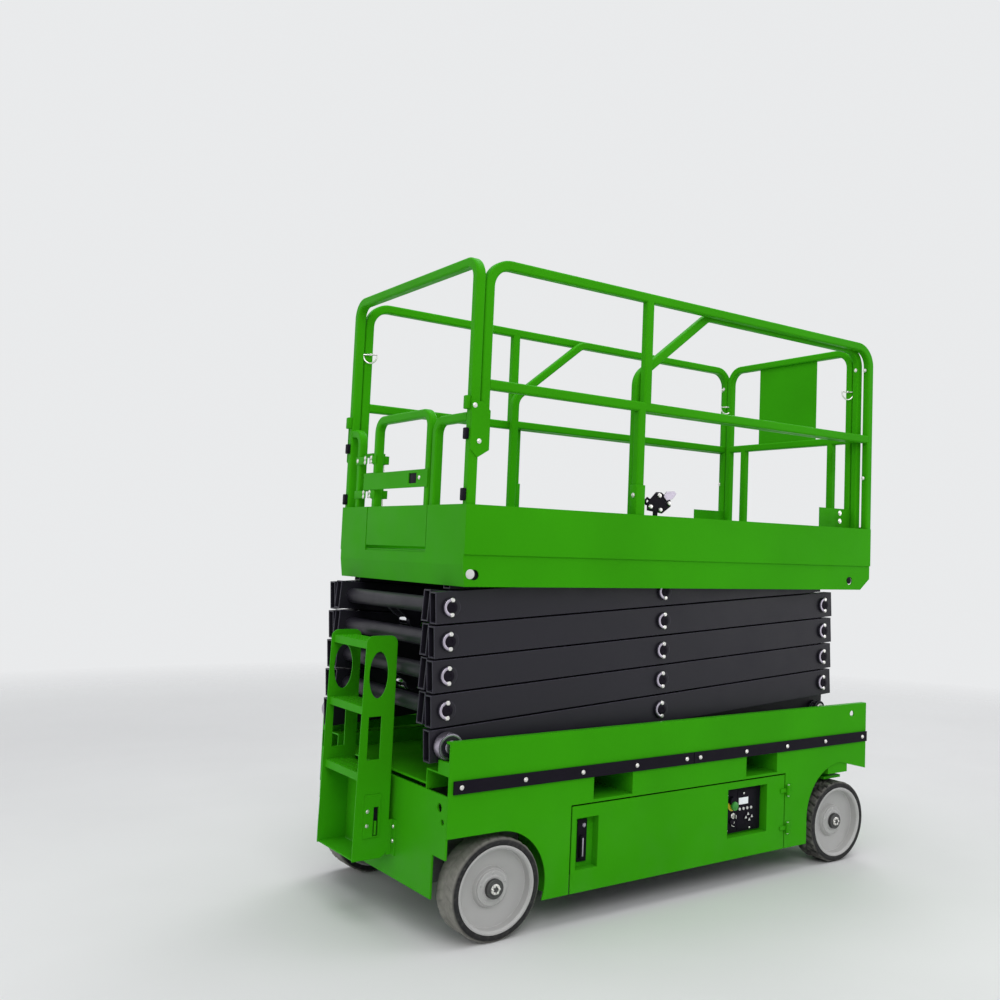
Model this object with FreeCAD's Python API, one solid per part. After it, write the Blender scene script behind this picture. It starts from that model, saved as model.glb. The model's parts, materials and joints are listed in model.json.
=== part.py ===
import FreeCAD, Part
import math
import os

from FreeCAD import Vector

# Self-propelled slab scissor lift, in millimetres.
# X runs forward to the steered wheels, Y to the far side, Z up from the ground.
# Places along X are measured from the middle of the wheelbase, and every piece is
# moved by to_origin at the end, so that the origin is under the middle of the
# whole outline.

# Wheels
tyre_diameter = 381.0
tyre_width = 127.0
tyre_thickness = 28.0
wheelbase = 1930.0
overall_width = 1170.0
spindle_radius = 25.0
bearing_clearance = 0.4
steer_pin_inset = 125.0

# Chassis
rear_overhang = 224.0
front_overhang = 203.0
chassis_top = 753.0
ground_clearance = 118.0
side_plate = 6.0
top_flange_width = 30.0
top_flange_thickness = 8.0
side_rail_depth = 175.0
side_rail_bottom = 556.0
side_rail_top = 634.0
roller_track_width = 81.0
floor_height = 578.0
floor_plate = 8.0
arch_clearance = 215.0
bulkhead_rear_to_axle = 265.0
bulkhead_front_to_axle = 305.0
panel_thickness = 8.0
axle_beam_height = 100.0
brake_housing_radius = 70.0
brake_housing_length = 52.0
rear_web_inset = 285.0
rear_web_heights = (168.0, 400.0)
front_notch_inset = 265.0
front_web_inset = 385.0

tie_down_x = 1059.0
tie_down_z = 706.0
tie_down_radius = 15.0
lash_hole_inset = 63.0
lash_hole_z = 508.0
lash_hole_radius = 17.0
hook_hole_inset = 37.0
hook_hole_z = 460.0
hook_hole_radius = 11.0

# Fork pockets
pocket_places = (-430.0, 430.0)
pocket_length = 200.0
pocket_height = 92.0
pocket_top = 565.0
pocket_wall = 5.0

# Swing-out trays
tray_rear_to_axle = 334.0
tray_front_to_axle = 382.0
tray_top = 456.0
tray_gap = 6.0
tray_depth = 330.0
tray_wall = 4.0
tray_rear_inset = 140.0
tray_front_inset = 50.0
tray_hinge_offset = 17.0
hinge_radius = 9.0
hinge_gap = 0.5
recess_wall = 4.0
door_plate = 5.0
tray_lift = 4.0
handle_recess_from_end = (22.0, 131.0)
handle_recess_z = (206.0, 407.0)
handle_recess_depth = 35.0
control_recess_from_hinge = (363.0, 115.0)
control_recess_z = (213.0, 426.0)
control_recess_depth = 45.0
battery_from_end = 151.0
power_unit_from_end = 331.0
tray_load_length = 600.0

# Scissor stack
level_count = 5
pin_first_height = 729.0
level_pitch = 127.6
pin_rear_inset = 24.0
pin_front_inset = 236.0
arm_height = 120.0
arm_width = 50.0
arm_wall = 5.0
arm_end_overhang = 62.0
top_arm_shorter = 55.0
top_arm_overhang = 28.5
arm_side_inset = 92.0
arm_side_gap = 8.0
pin_radius = 22.0
pin_clearance = 0.4
cross_tube_radius = 32.0
collar_radius = 36.0
collar_thickness = 10.0
face_clearance = 0.5
lower_roller_radius = 50.0
upper_roller_radius = 38.0
roller_width = 44.0
roller_clearance = 0.3

# Lift cylinders
cylinder_levels = (1, 3)
barrel_radius = 50.0
rod_radius = 28.0
cylinder_pin_inset = 90.0
cylinder_pin_offset = 74.0
cylinder_pin_radius = 18.0
cylinder_eye_radius = 35.0
cylinder_eye_width = 60.0
cylinder_ear_thickness = 16.0
barrel_end_to_eye = 110.0
barrel_base_gap = 44.0
rod_start = 60.0
eye_side_gap = 2.0

# Platform
platform_rear_step = 5.0
platform_front_reach = 272.0
platform_side_inset = 18.0
platform_floor = 1450.0
toe_board_top = 1630.0
toe_board_bottom = 1440.0
toe_board_thickness = 4.0
skirt_inset = 6.0
rear_skirt_slant = 10.0
deck_plate = 8.0
tread_panel = 2.0
tread_panel_gap = 8.0
rib_places = (-550.0, -100.0, 350.0)
rib_width = 40.0
rib_depth = 38.0
skirt_hole_radius = 20.0
skirt_hole_front_x = 1050.0

# Guard rails
rail_tube = 40.0
rail_corner = 9.0
rail_end_sink = 7.0
rail_top = 2591.0
mid_rail_height = 2094.0
rail_bend = 95.0
rail_front_overhang = 10.0
side_rail_inset = 67.0
side_post_upper_x = -295.0
side_post_lower_near_x = -322.0
side_post_lower_far_x = -268.0
rear_frame_bend = 68.0
side_rail_foot = 1839.0
rail_bracket_thickness = 4.0
rail_bracket_low = 1807.0
rail_bracket_high = 2022.0

# Gate
gate_near_y = -250.0
gate_far_y = 300.0
gate_tube = 36.0
gate_bend = 54.0
gate_top = 2024.0
gate_inset = 25.0
gate_frame_y = (-216.0, 268.0)
gate_frame_bottom = 1570.0
gate_plate_z = (1704.0, 1776.0)
gate_plate_reach = 363.0
gate_plate_thickness = 4.0
gate_hole_y = (-141.0, -71.0)
gate_hole_z = (1721.0, 1763.0)
gate_hinge_forward = 45.0
gate_hinge_y = 330.0
gate_hinge_radius = 9.0
gate_hinge_heights = (1685.0, 1837.0)
gate_hinge_half = 18.0
gate_lug_height = 14.0
gate_spring_length = 36.0
gate_post_top = 1983.0
gate_post_y = (-268.0, 440.0)
kick_plate_setback = 20.0

# Extension deck
extension_rear = -400.0
extension_clearance = 6.0
extension_side_gap = 5.5
extension_plate = 6.0
extension_rail_tube = 38.0
extension_rail_top = 2580.0
extension_front_inset = 44.0
extension_post_inset = 90.0
extension_elbow_height = 2231.0
extension_slant = 400.0
extension_bend = 85.0
extension_toe_height = 274.0
extension_toe_length = 292.0
front_post_y = 328.0
front_plate_half = 214.0
extension_travel = 900.0
lock_lever_x = -150.0
lock_lever_inset = 60.0

# Ladder
ladder_near = -150.0
ladder_far = 190.0
ladder_plate = 6.0
ladder_corner = 30.0
ladder_foot_corner = 40.0
ladder_heel = 60.0
ladder_standoff = 18.0
ladder_top = 1108.0
ladder_bottom = 247.0
ladder_depth_top = 130.0
ladder_depth_bottom = 145.0
ladder_tread_first = 1086.0
ladder_tread_pitch = 254.0
ladder_tread_count = 3
ladder_tab_height = (255.0, 390.0)
ladder_tab_width = 30.0
hand_hole_centre = (73.0, 955.0)
hand_hole_radius = 40.0
hand_hole_stretch = 2.27
side_window_x = (52.0, 106.0)
side_window_z = (628.0, 794.0)
ladder_pad_x = (40.0, 108.0)
ladder_pad_z = (330.0, 495.0)
ladder_slot_x = (47.0, 68.0)
ladder_slot_z = (335.0, 446.0)

# Rub strips
strip_thickness = 8.0
strip_bottom = 564.0
strip_height = 48.0
strip_end_gap = 18.0
strip_joint = 4.0

# Values that follow from the sizes above
half_width = overall_width / 2
half_platform = half_width - platform_side_inset
wheel_radius = tyre_diameter / 2
rear_axle = -wheelbase / 2
front_axle = wheelbase / 2
chassis_rear = rear_axle - rear_overhang
chassis_front = front_axle + front_overhang
tyre_inner_face = half_width - tyre_width
steer_pin_y = half_width - steer_pin_inset
bulkhead_rear = rear_axle + bulkhead_rear_to_axle
bulkhead_front = front_axle - bulkhead_front_to_axle
tray_rear = rear_axle + tray_rear_to_axle
tray_front = front_axle - tray_front_to_axle
handle_recess_x = tuple(tray_rear + place for place in handle_recess_from_end)
control_recess_x = tuple(tray_front - place for place in control_recess_from_hinge)
pin_rear = chassis_rear + pin_rear_inset
pin_front = chassis_front - pin_front_inset
platform_rear = pin_rear + platform_rear_step
platform_front = pin_front + platform_front_reach
arm_span = pin_front - pin_rear
arm_length = math.hypot(arm_span, level_pitch)
arm_rest_angle = math.degrees(math.atan2(level_pitch, arm_span))
pin_middle = (pin_rear + pin_front) / 2
hinge_y = half_width + hinge_radius + 0.3
arm_outer_face = half_width - arm_side_inset
inner_arm_outer_face = arm_outer_face - arm_width - arm_side_gap
inner_arm_inner_face = inner_arm_outer_face - arm_width
outer_arm_inner_face = arm_outer_face - arm_width
lower_track_top = pin_first_height - lower_roller_radius - roller_clearance
rest_cosine = arm_span / arm_length
rest_sine = level_pitch / arm_length
top_pin_height = pin_first_height + level_count * level_pitch - top_arm_shorter * rest_sine
platform_pin_front = pin_front - top_arm_shorter * rest_cosine
upper_track_top = top_pin_height - upper_roller_radius - roller_clearance
collar_outer_face = arm_outer_face + face_clearance + collar_thickness
roller_inner_face = collar_outer_face - 2.0
rail_side_face = half_platform - toe_board_thickness - 2.5
rail_centre_y = rail_side_face - rail_tube / 2
extension_half = rail_side_face - rail_tube - extension_side_gap
extension_rail_y = extension_half - extension_rail_tube / 2
rail_front = platform_front - rail_front_overhang
outline_front = rail_front + rail_tube / 2
ladder_front = chassis_rear - ladder_standoff
outline_rear = ladder_front - max(ladder_depth_top, ladder_depth_bottom)
to_origin = Vector(-(outline_front + outline_rear) / 2, 0, 0)

SIDES = (("near", -1), ("far", 1))
X_AXIS = Vector(1, 0, 0)
Y_AXIS = Vector(0, 1, 0)
Z_AXIS = Vector(0, 0, 1)


def block(x, y, z):
    """A box between two X, two Y and two Z places, given in any order."""
    low = Vector(min(x), min(y), min(z))
    size = [abs(pair[1] - pair[0]) for pair in (x, y, z)]
    return Part.makeBox(size[0], size[1], size[2], low)


def rod_x(x, y, z, radius):
    return Part.makeCylinder(radius, abs(x[1] - x[0]), Vector(min(x), y, z), X_AXIS)


def rod_y(x, y, z, radius):
    return Part.makeCylinder(radius, abs(y[1] - y[0]), Vector(x, min(y), z), Y_AXIS)


def rod_z(x, y, z, radius):
    return Part.makeCylinder(radius, abs(z[1] - z[0]), Vector(x, y, min(z)), Z_AXIS)


def join(shapes):
    """One shape from touching solids, with its seams removed."""
    whole = shapes[0]
    if len(shapes) > 1:
        whole = shapes[0].fuse(shapes[1:])
    return whole.removeSplitter()


def apart(shapes):
    """Several solids that don't touch, kept as one node."""
    solids = []
    for shape in shapes:
        solids.extend(shape.Solids)
    return Part.makeCompound(solids)


def across(shape):
    """The same shape on the other side of the machine."""
    return shape.mirror(Vector(0, 0, 0), Y_AXIS)


def edges_through(points, place):
    """Straight edges through points, where a point with four numbers ends an arc.

    A point is (u, w), or (mid_u, mid_w, u, w) for an arc through its middle.
    place turns (u, w) into a vector.
    """
    edges = []
    start = place(points[0][-2], points[0][-1])
    for point in list(points[1:]) + [points[0][-2:]]:
        end = place(point[-2], point[-1])
        if len(point) == 4:
            middle = place(point[0], point[1])
            edges.append(Part.Arc(start, middle, end).toShape())
        elif start.distanceToPoint(end) > 0.001:
            edges.append(Part.makeLine(start, end))
        start = end
    return edges


def plate_xz(points, y):
    """A plate with its outline in X and Z, between two Y places."""
    low = min(y)
    wire = Part.Wire(edges_through(points, lambda u, w: Vector(u, low, w)))
    return Part.Face(wire).extrude(Vector(0, abs(y[1] - y[0]), 0))


def plate_yz(points, x):
    """A plate with its outline in Y and Z, between two X places."""
    low = min(x)
    wire = Part.Wire(edges_through(points, lambda u, w: Vector(low, u, w)))
    return Part.Face(wire).extrude(Vector(abs(x[1] - x[0]), 0, 0))


def turned(points, centre, axis_direction=Y_AXIS):
    """A ring turned from an outline of (radius, place along Y) about a Y axis."""
    wire = Part.Wire(edges_through(
        points, lambda u, w: Vector(centre.x + u, centre.y + w, centre.z)))
    return Part.Face(wire).revolve(centre, axis_direction, 360)


def bent_path(points, bend):
    """A wire through points in one plane, with an arc at each inner corner."""
    edges = []
    start = points[0]
    for before, corner, after in zip(points, points[1:], points[2:]):
        to_before = (before - corner).normalize()
        to_after = (after - corner).normalize()
        half_angle = to_before.getAngle(to_after) / 2
        reach = bend / math.tan(half_angle)
        enter = corner + to_before * reach
        leave = corner + to_after * reach
        inward = (to_before + to_after).normalize()
        middle = corner + inward * (bend / math.sin(half_angle) - bend)
        edges.append(Part.makeLine(start, enter))
        edges.append(Part.Arc(enter, middle, leave).toShape())
        start = leave
    edges.append(Part.makeLine(start, points[-1]))
    return Part.Wire(edges)


def tube(points, normal, size=rail_tube, bend=rail_bend, corner=rail_corner):
    """A bar of rounded square section along a bent path in the plane of normal."""
    points = [Vector(*point) for point in points]
    path = bent_path(points, bend) if len(points) > 2 else Part.Wire([Part.makeLine(*points)])
    forward = (points[1] - points[0]).normalize()
    side = forward.cross(normal)
    half = size / 2
    flat = half - corner
    rise = corner * math.sqrt(0.5)

    def place(u, w):
        return points[0] + side * u + normal * w

    section = []
    for turn in range(4):
        cosine, sine = ((1, 0), (0, 1), (-1, 0), (0, -1))[turn]
        for u, w in ((half, -flat), (half, flat)):
            section.append((u * cosine - w * sine, u * sine + w * cosine))
        middle = (flat + rise, flat + rise)
        end = (flat, half)
        section.append((
            middle[0] * cosine - middle[1] * sine, middle[0] * sine + middle[1] * cosine,
            end[0] * cosine - end[1] * sine, end[0] * sine + end[1] * cosine))
    profile = Part.Wire(edges_through(section, place))
    sweep = Part.BRepOffsetAPI.MakePipeShell(path)
    sweep.setBiNormalMode(normal)
    sweep.add(profile)
    sweep.build()
    sweep.makeSolid()
    return sweep.shape()


def save(name, shape):
    shape = shape.copy()
    shape.translate(to_origin)
    shape.exportStep("parts/" + name + ".step")


# Chassis

def side_outline():
    """Outline of the side plate, with both wheel arches and the tray opening."""
    rear_arch_top = wheel_radius + arch_clearance
    drop = wheel_radius - ground_clearance
    rear_arch_end = rear_axle + math.sqrt(arch_clearance ** 2 - drop ** 2)
    lean = arch_clearance * math.sqrt(0.5)
    front_arch_x = front_axle + 15
    front_arch_z = wheel_radius + 45
    front_arch = 240.0
    front_lean = front_arch * math.sqrt(0.5)
    return [
        (chassis_rear, rear_arch_top),
        (chassis_rear, chassis_top),
        (chassis_front, chassis_top),
        (chassis_front, front_arch_z + 195),
        (front_arch_x, front_arch_z + front_arch),
        (front_arch_x - front_lean, front_arch_z + front_lean,
         front_arch_x - front_arch, front_arch_z),
        (front_arch_x - front_arch, ground_clearance),
        (tray_front + tray_gap, ground_clearance),
        (tray_front + tray_gap, tray_top + tray_gap),
        (tray_rear - tray_gap, tray_top + tray_gap),
        (tray_rear - tray_gap, ground_clearance),
        (rear_arch_end, ground_clearance),
        (rear_axle + lean, wheel_radius + lean, rear_axle, rear_arch_top),
    ]


def chassis_side():
    """Side plate with its top flange, roller track and the web under the track."""
    inner = half_width - side_plate
    rail_inner = half_width - side_rail_depth
    shell = [
        plate_xz(side_outline(), (inner, half_width)),
        block((chassis_rear, chassis_front), (half_width - top_flange_width, inner),
              (chassis_top - top_flange_thickness, chassis_top)),
        block((chassis_rear, chassis_front), (rail_inner, inner),
              (side_rail_top - side_plate, side_rail_top)),
        block((chassis_rear, chassis_front), (inner - roller_track_width, inner),
              (side_rail_top, lower_track_top)),
        block((chassis_rear, chassis_front), (rail_inner, rail_inner + side_plate),
              (side_rail_bottom, side_rail_top)),
    ]
    body = join(shell)
    for place in pocket_places:
        body = body.cut(block((place - pocket_length / 2 - pocket_wall,
                               place + pocket_length / 2 + pocket_wall),
                              (0, half_width + 10),
                              (pocket_top - pocket_height - pocket_wall, pocket_top + pocket_wall)))
    body = body.cut(rod_y(tie_down_x, (inner - 1, half_width + 1), tie_down_z, tie_down_radius))
    hinge = tray_front + tray_hinge_offset
    for height in hinge_heights():
        for low, high in ((-24, -9 - hinge_gap), (9 + hinge_gap, 24)):
            barrel = rod_z(hinge, hinge_y, (height + low, height + high), hinge_radius)
            leaf = block((hinge, hinge + 30), (half_width, half_width + 6),
                         (height + low, height + high))
            body = body.fuse([barrel, leaf])
    return body.removeSplitter()


def hinge_heights():
    return (ground_clearance + 95, tray_top - 72)


def fork_pockets():
    """Two square tunnels through the whole width, for lifting forks."""
    tunnels = []
    for place in pocket_places:
        half = pocket_length / 2
        outer = block((place - half - pocket_wall, place + half + pocket_wall),
                      (-half_width, half_width),
                      (pocket_top - pocket_height - pocket_wall, pocket_top + pocket_wall))
        inner = block((place - half, place + half), (-half_width - 1, half_width + 1),
                      (pocket_top - pocket_height, pocket_top))
        tunnels.append(outer.cut(inner))
    return apart(tunnels)


def chassis_floor():
    """Floor between the side rails, the two bulkheads and the centre spine."""
    inner = half_width - side_rail_depth
    spine_half = half_width - tray_depth - 40
    under = floor_height - floor_plate
    pieces = [
        block((chassis_rear + panel_thickness, chassis_front - panel_thickness), (-inner, inner),
              (under, floor_height)),
    ]
    for place in (bulkhead_rear, bulkhead_front):
        pieces.append(block((place, place + panel_thickness),
                            (-half_width + side_plate, half_width - side_plate),
                            (ground_clearance, pocket_top - pocket_height - pocket_wall)))
        pieces.append(block((place, place + panel_thickness), (-inner, inner),
                            (ground_clearance, floor_height)))
    for side in (-1, 1):
        pieces.append(block((bulkhead_rear, bulkhead_front),
                            (side * spine_half, side * (spine_half - side_plate)),
                            (ground_clearance, pocket_top - pocket_height - pocket_wall)))
    return join(pieces)


def rear_panel():
    """Rear closing plate, with a notch behind each wheel."""
    wide = half_width - side_plate
    narrow = tyre_inner_face + 22
    points = [
        (-wide, side_rail_bottom), (wide, side_rail_bottom),
        (wide, 330), (narrow, 330), (narrow, 168), (-narrow, 168), (-narrow, 330), (-wide, 330),
    ]
    plate = plate_yz(points, (chassis_rear, chassis_rear + panel_thickness))
    for side in (-1, 1):
        for inset, z, radius in ((lash_hole_inset, lash_hole_z, lash_hole_radius),
                                 (hook_hole_inset, hook_hole_z, hook_hole_radius)):
            plate = plate.cut(rod_x((chassis_rear - 1, chassis_rear + panel_thickness + 1),
                                    side * (half_width - inset), z, radius))
    return plate


def rear_axle_unit():
    """Rear axle beam with its webs, brake housings, spindles and castle nuts."""
    half = axle_beam_height / 2
    housing_end = tyre_inner_face - 6
    beam_end = housing_end - brake_housing_length
    web = half_width - rear_web_inset
    pieces = [block((rear_axle - half, rear_axle + half), (-beam_end, beam_end),
                    (wheel_radius - half, wheel_radius + half))]
    for side in (-1, 1):
        pieces.append(rod_y(rear_axle, (side * (beam_end - 1), side * housing_end),
                            wheel_radius, brake_housing_radius))
        pieces.append(rod_y(rear_axle, (side * beam_end, side * (half_width - 12)),
                            wheel_radius, spindle_radius))
        pieces.append(rod_y(rear_axle, (side * (half_width - 34), side * (half_width - 14)),
                            wheel_radius, 34))
        pieces.append(block((chassis_rear + panel_thickness, bulkhead_rear),
                            (side * web, side * (web + side_plate)), rear_web_heights))
    return join(pieces)


def front_panel():
    """Front closing plate and the steer beam with its two king pin bores."""
    wide = half_width - side_plate
    narrow = half_width - front_notch_inset
    points = [
        (-wide, side_rail_bottom), (wide, side_rail_bottom), (wide, 440), (narrow, 440),
        (narrow, 150), (-narrow, 150), (-narrow, 440), (-wide, 440),
    ]
    plate = plate_yz(points, (chassis_front - panel_thickness, chassis_front))
    beam = block((front_axle - 70, front_axle + 70), (-wide, wide), steer_beam_heights())
    pieces = [plate, beam]
    web = half_width - front_web_inset
    for side in (-1, 1):
        pieces.append(block((bulkhead_front + panel_thickness, chassis_front - panel_thickness),
                            (side * web, side * (web + side_plate)), (200, 500)))
    body = join(pieces)
    low, high = steer_beam_heights()
    for side in (-1, 1):
        body = body.cut(rod_z(front_axle, side * steer_pin_y, (low - 1, high + 1),
                              32 + pin_clearance))
    return body


def steer_beam_heights():
    return (tyre_diameter + 44, tyre_diameter + 119)


def pivot_bracket():
    """The fixed front pivot: four ears on the floor and the shaft through them."""
    pieces = [rod_y(pin_front, (-arm_outer_face + 8, arm_outer_face - 8), pin_first_height, pin_radius)]
    ears = ((inner_arm_outer_face + 2, inner_arm_outer_face + 16),
            (arm_outer_face - 22, arm_outer_face - 8))
    for side in (-1, 1):
        for y in ears:
            points = [
                (pin_front - 80, side_rail_top), (pin_front - 34, pin_first_height + 6),
                (pin_front, pin_first_height + 34, pin_front + 34, pin_first_height + 6),
                (pin_front + 80, side_rail_top),
            ]
            pieces.append(plate_xz(points, (side * y[0], side * y[1])))
    return join(pieces)


def ladder():
    """Two tapered side plates with hand holds, three treads, a closed foot and two tabs."""
    front = ladder_front
    top_rear = front - ladder_depth_top
    foot_rear = front - ladder_depth_bottom
    bulge = ladder_corner * (1 - math.sqrt(0.5))
    foot_bulge = ladder_foot_corner * (1 - math.sqrt(0.5))
    points = [
        (front, ladder_bottom + ladder_foot_corner), (front, ladder_top - ladder_corner),
        (front - bulge, ladder_top - bulge, front - ladder_corner, ladder_top),
        (top_rear + ladder_corner, ladder_top),
        (top_rear + bulge, ladder_top - bulge, top_rear, ladder_top - ladder_corner),
        (foot_rear, ladder_bottom + ladder_heel),
        (foot_rear, ladder_bottom),
        (front - ladder_foot_corner, ladder_bottom),
        (front - foot_bulge, ladder_bottom + foot_bulge,
         front, ladder_bottom + ladder_foot_corner),
    ]
    half = ladder_plate / 2
    tab_z = ladder_tab_height
    pieces = []
    for y, outward in ((ladder_near, -1), (ladder_far, 1)):
        plate = plate_xz(points, (y - half, y + half))
        hole = Part.makeCylinder(hand_hole_radius, 40, Vector(0, -20, 0), Y_AXIS)
        stretch = FreeCAD.Matrix()
        stretch.scale(1.0, 1.0, hand_hole_stretch)
        hole = hole.transformGeometry(stretch)
        hole.translate(Vector(front - hand_hole_centre[0], y, hand_hole_centre[1]))
        plate = plate.cut(hole)
        plate = plate.cut(block([front - x for x in side_window_x], (y - 20, y + 20), side_window_z))
        pieces.append(plate)
        pieces.append(block((front - 6, chassis_rear), (y - half, y + half), tab_z))
        pieces.append(block((chassis_rear - 6, chassis_rear),
                            (y, y + outward * (half + ladder_tab_width)), tab_z))
    pad_x = [front - x for x in ladder_pad_x]
    pad_y = ladder_near - half
    pieces.append(block(pad_x, (pad_y - 4, pad_y), ladder_pad_z))
    tread_y = (ladder_near + half, ladder_far - half)
    for number in range(ladder_tread_count):
        height = ladder_tread_first - number * ladder_tread_pitch
        share = (ladder_top - height) / (ladder_top - ladder_bottom)
        depth = ladder_depth_top + (ladder_depth_bottom - ladder_depth_top) * share
        pieces.append(block((front - depth + 10, front - 20), tread_y, (height - 5, height)))
        pieces.append(block((front - depth + 10, front - depth + 15), tread_y,
                            (height - 30, height)))
    last_tread = ladder_tread_first - (ladder_tread_count - 1) * ladder_tread_pitch
    pieces.append(block((foot_rear + 6, front - 30), tread_y, (ladder_bottom, ladder_bottom + 5)))
    pieces.append(block((front - 26, front - 20), tread_y, (ladder_bottom + 4, last_tread - 4)))
    body = join(pieces)
    slot = block([front - x for x in ladder_slot_x], (pad_y - 5, ladder_near + half + 1),
                 ladder_slot_z)
    return body.cut(slot)


def rub_strips():
    """Black strips along both sides under the roller tracks, in two lengths a side."""
    strips = []
    lengths = ((chassis_rear + strip_end_gap, 0.0), (strip_joint, chassis_front))
    for side in (-1, 1):
        for x in lengths:
            strips.append(block(x, (side * half_width, side * (half_width + strip_thickness)),
                                (strip_bottom, strip_bottom + strip_height)))
    return apart(strips)


def knuckle():
    """Steered knuckle: king pin, arched top plate, inner plate, motor and spindle."""
    low, high = steer_beam_heights()
    arch_z = (tyre_diameter + 12, tyre_diameter + 24)
    inner_plate = (tyre_inner_face - 40, tyre_inner_face - 22)
    pieces = [
        rod_z(front_axle, steer_pin_y, (arch_z[0], high + 1), 32),
        rod_z(front_axle, steer_pin_y, (arch_z[1] - 1, low - face_clearance), 50),
        rod_z(front_axle, steer_pin_y, (high + face_clearance, high + 12), 48),
        block((front_axle - 60, front_axle + 60), (inner_plate[0], half_width - 40), arch_z),
        block((front_axle - 60, front_axle + 60), inner_plate, (wheel_radius - 60, arch_z[1])),
        rod_y(front_axle, (inner_plate[0] - 120, inner_plate[0] + 1), wheel_radius, 60),
        rod_y(front_axle, (inner_plate[0], half_width - 12), wheel_radius, spindle_radius),
        rod_y(front_axle, (half_width - 34, half_width - 14), wheel_radius, 34),
    ]
    return join(pieces)


# Wheels

def rim(axle):
    """Dished rim with a raised hub, turned about its axle."""
    outer = wheel_radius - tyre_thickness
    seat = spindle_radius + bearing_clearance
    width = tyre_width
    points = [
        (seat, 34), (62, 34), (70, 60), (outer - 26, 76), (outer - 14, 30), (outer - 14, 4),
        (outer - 6, 0), (outer, 0), (outer, width), (outer - 7, width), (outer - 14, width - 6),
        (outer - 16, 88), (78, 74), (70, width - 38), (44, width - 36), (44, width - 37),
        (seat, width - 37),
    ]
    return turned(points, Vector(axle, half_width - tyre_width, wheel_radius))


def tyre(axle):
    """Solid tyre band with slanted shoulders."""
    inner = wheel_radius - tyre_thickness
    shoulder = 8.0
    points = [
        (inner, 0), (wheel_radius - shoulder, 0), (wheel_radius, shoulder),
        (wheel_radius, tyre_width - shoulder), (wheel_radius - shoulder, tyre_width),
        (inner, tyre_width),
    ]
    return turned(points, Vector(axle, half_width - tyre_width, wheel_radius))


# Swing-out trays

def tray_door():
    """Door panel with its hinge barrels and the two recess pans behind it."""
    face = half_width - door_plate
    panel = block((tray_rear, tray_front), (face, half_width), (ground_clearance, tray_top))
    hinge = tray_front + tray_hinge_offset
    pieces = [panel]
    for height in hinge_heights():
        pieces.append(rod_z(hinge, hinge_y, (height - 9, height + 9), hinge_radius))
        pieces.append(block((hinge - 45, hinge), (half_width, half_width + 6),
                            (height - 9, height + 9)))
    recesses = ((handle_recess_x, handle_recess_z, handle_recess_depth),
                (control_recess_x, control_recess_z, control_recess_depth))
    for x, z, depth in recesses:
        pieces.append(block((x[0] - recess_wall, x[1] + recess_wall),
                            (face - depth - recess_wall, face),
                            (z[0] - recess_wall, z[1] + recess_wall)))
    body = join(pieces)
    for x, z, depth in recesses:
        body = body.cut(block(x, (face - depth, half_width + 1), z))
    return body


def tray():
    """Open tray carried by the door."""
    back = half_width - tray_depth
    face = half_width - door_plate
    x = (tray_rear + tray_rear_inset, tray_front - tray_front_inset)
    low = ground_clearance + tray_lift
    outer = block(x, (back, face), (low, tray_top - tray_lift))
    hollow = block((x[0] + tray_wall, x[1] - tray_wall), (back + tray_wall, face + 1),
                   (low + tray_wall, tray_top))
    return outer.cut(hollow)


def tray_load(start):
    """A closed heavy unit standing on the tray floor, as one plain block."""
    back = half_width - tray_depth
    low = ground_clearance + tray_lift + tray_wall
    return block((start, start + tray_load_length), (back + 30, back + 230), (low, tray_top - 30))


def ground_controls():
    """Control panel face in its recess, with stop button and key switch."""
    face = half_width - door_plate - control_recess_depth
    y = (face, face + 12)
    panel = block((control_recess_x[0] + 8, control_recess_x[1] - 8), y,
                  (control_recess_z[0] + 8, control_recess_z[1] - 8))
    stop = rod_y(control_recess_x[0] + 55, (face + 12, face + 34), control_recess_z[1] - 60, 20)
    key = rod_y(control_recess_x[0] + 55, (face + 12, face + 24), control_recess_z[0] + 60, 12)
    return join([panel, stop, key])


# Scissor arms

def arm_tube(y, ends):
    """A hollow arm lying along X between two ends, open at both."""
    high = arm_height / 2
    outer = block(ends, y, (-high, high))
    inner = block((min(ends) - 1, max(ends) + 1), (min(y) + arm_wall, max(y) - arm_wall),
                  (-high + arm_wall, high - arm_wall))
    return outer.cut(inner)


def upper_half(level):
    """Distance from an arm's middle to its upper pin: the top pair is shorter there."""
    return arm_length / 2 - (top_arm_shorter if level == level_count else 0)


def arm_ends(level, upper_side):
    """Both ends of an arm along its own X, where upper_side is -1 or 1."""
    lower = arm_length / 2 + arm_end_overhang
    upper = upper_half(level) + (top_arm_overhang if level == level_count else arm_end_overhang)
    return (-upper, lower) if upper_side < 0 else (-lower, upper)


def place_arm(shape, level, direction):
    """Turn an arm to its rest slope and lift it to its level, counted from 1.

    direction is 1 for an inner arm, which rises to the rear, and -1 for an outer one.
    """
    height = pin_first_height + (level - 0.5) * level_pitch
    shape = shape.copy()
    shape.rotate(Vector(0, 0, 0), Y_AXIS, direction * arm_rest_angle)
    shape.translate(Vector(pin_middle, 0, height))
    return shape


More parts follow.
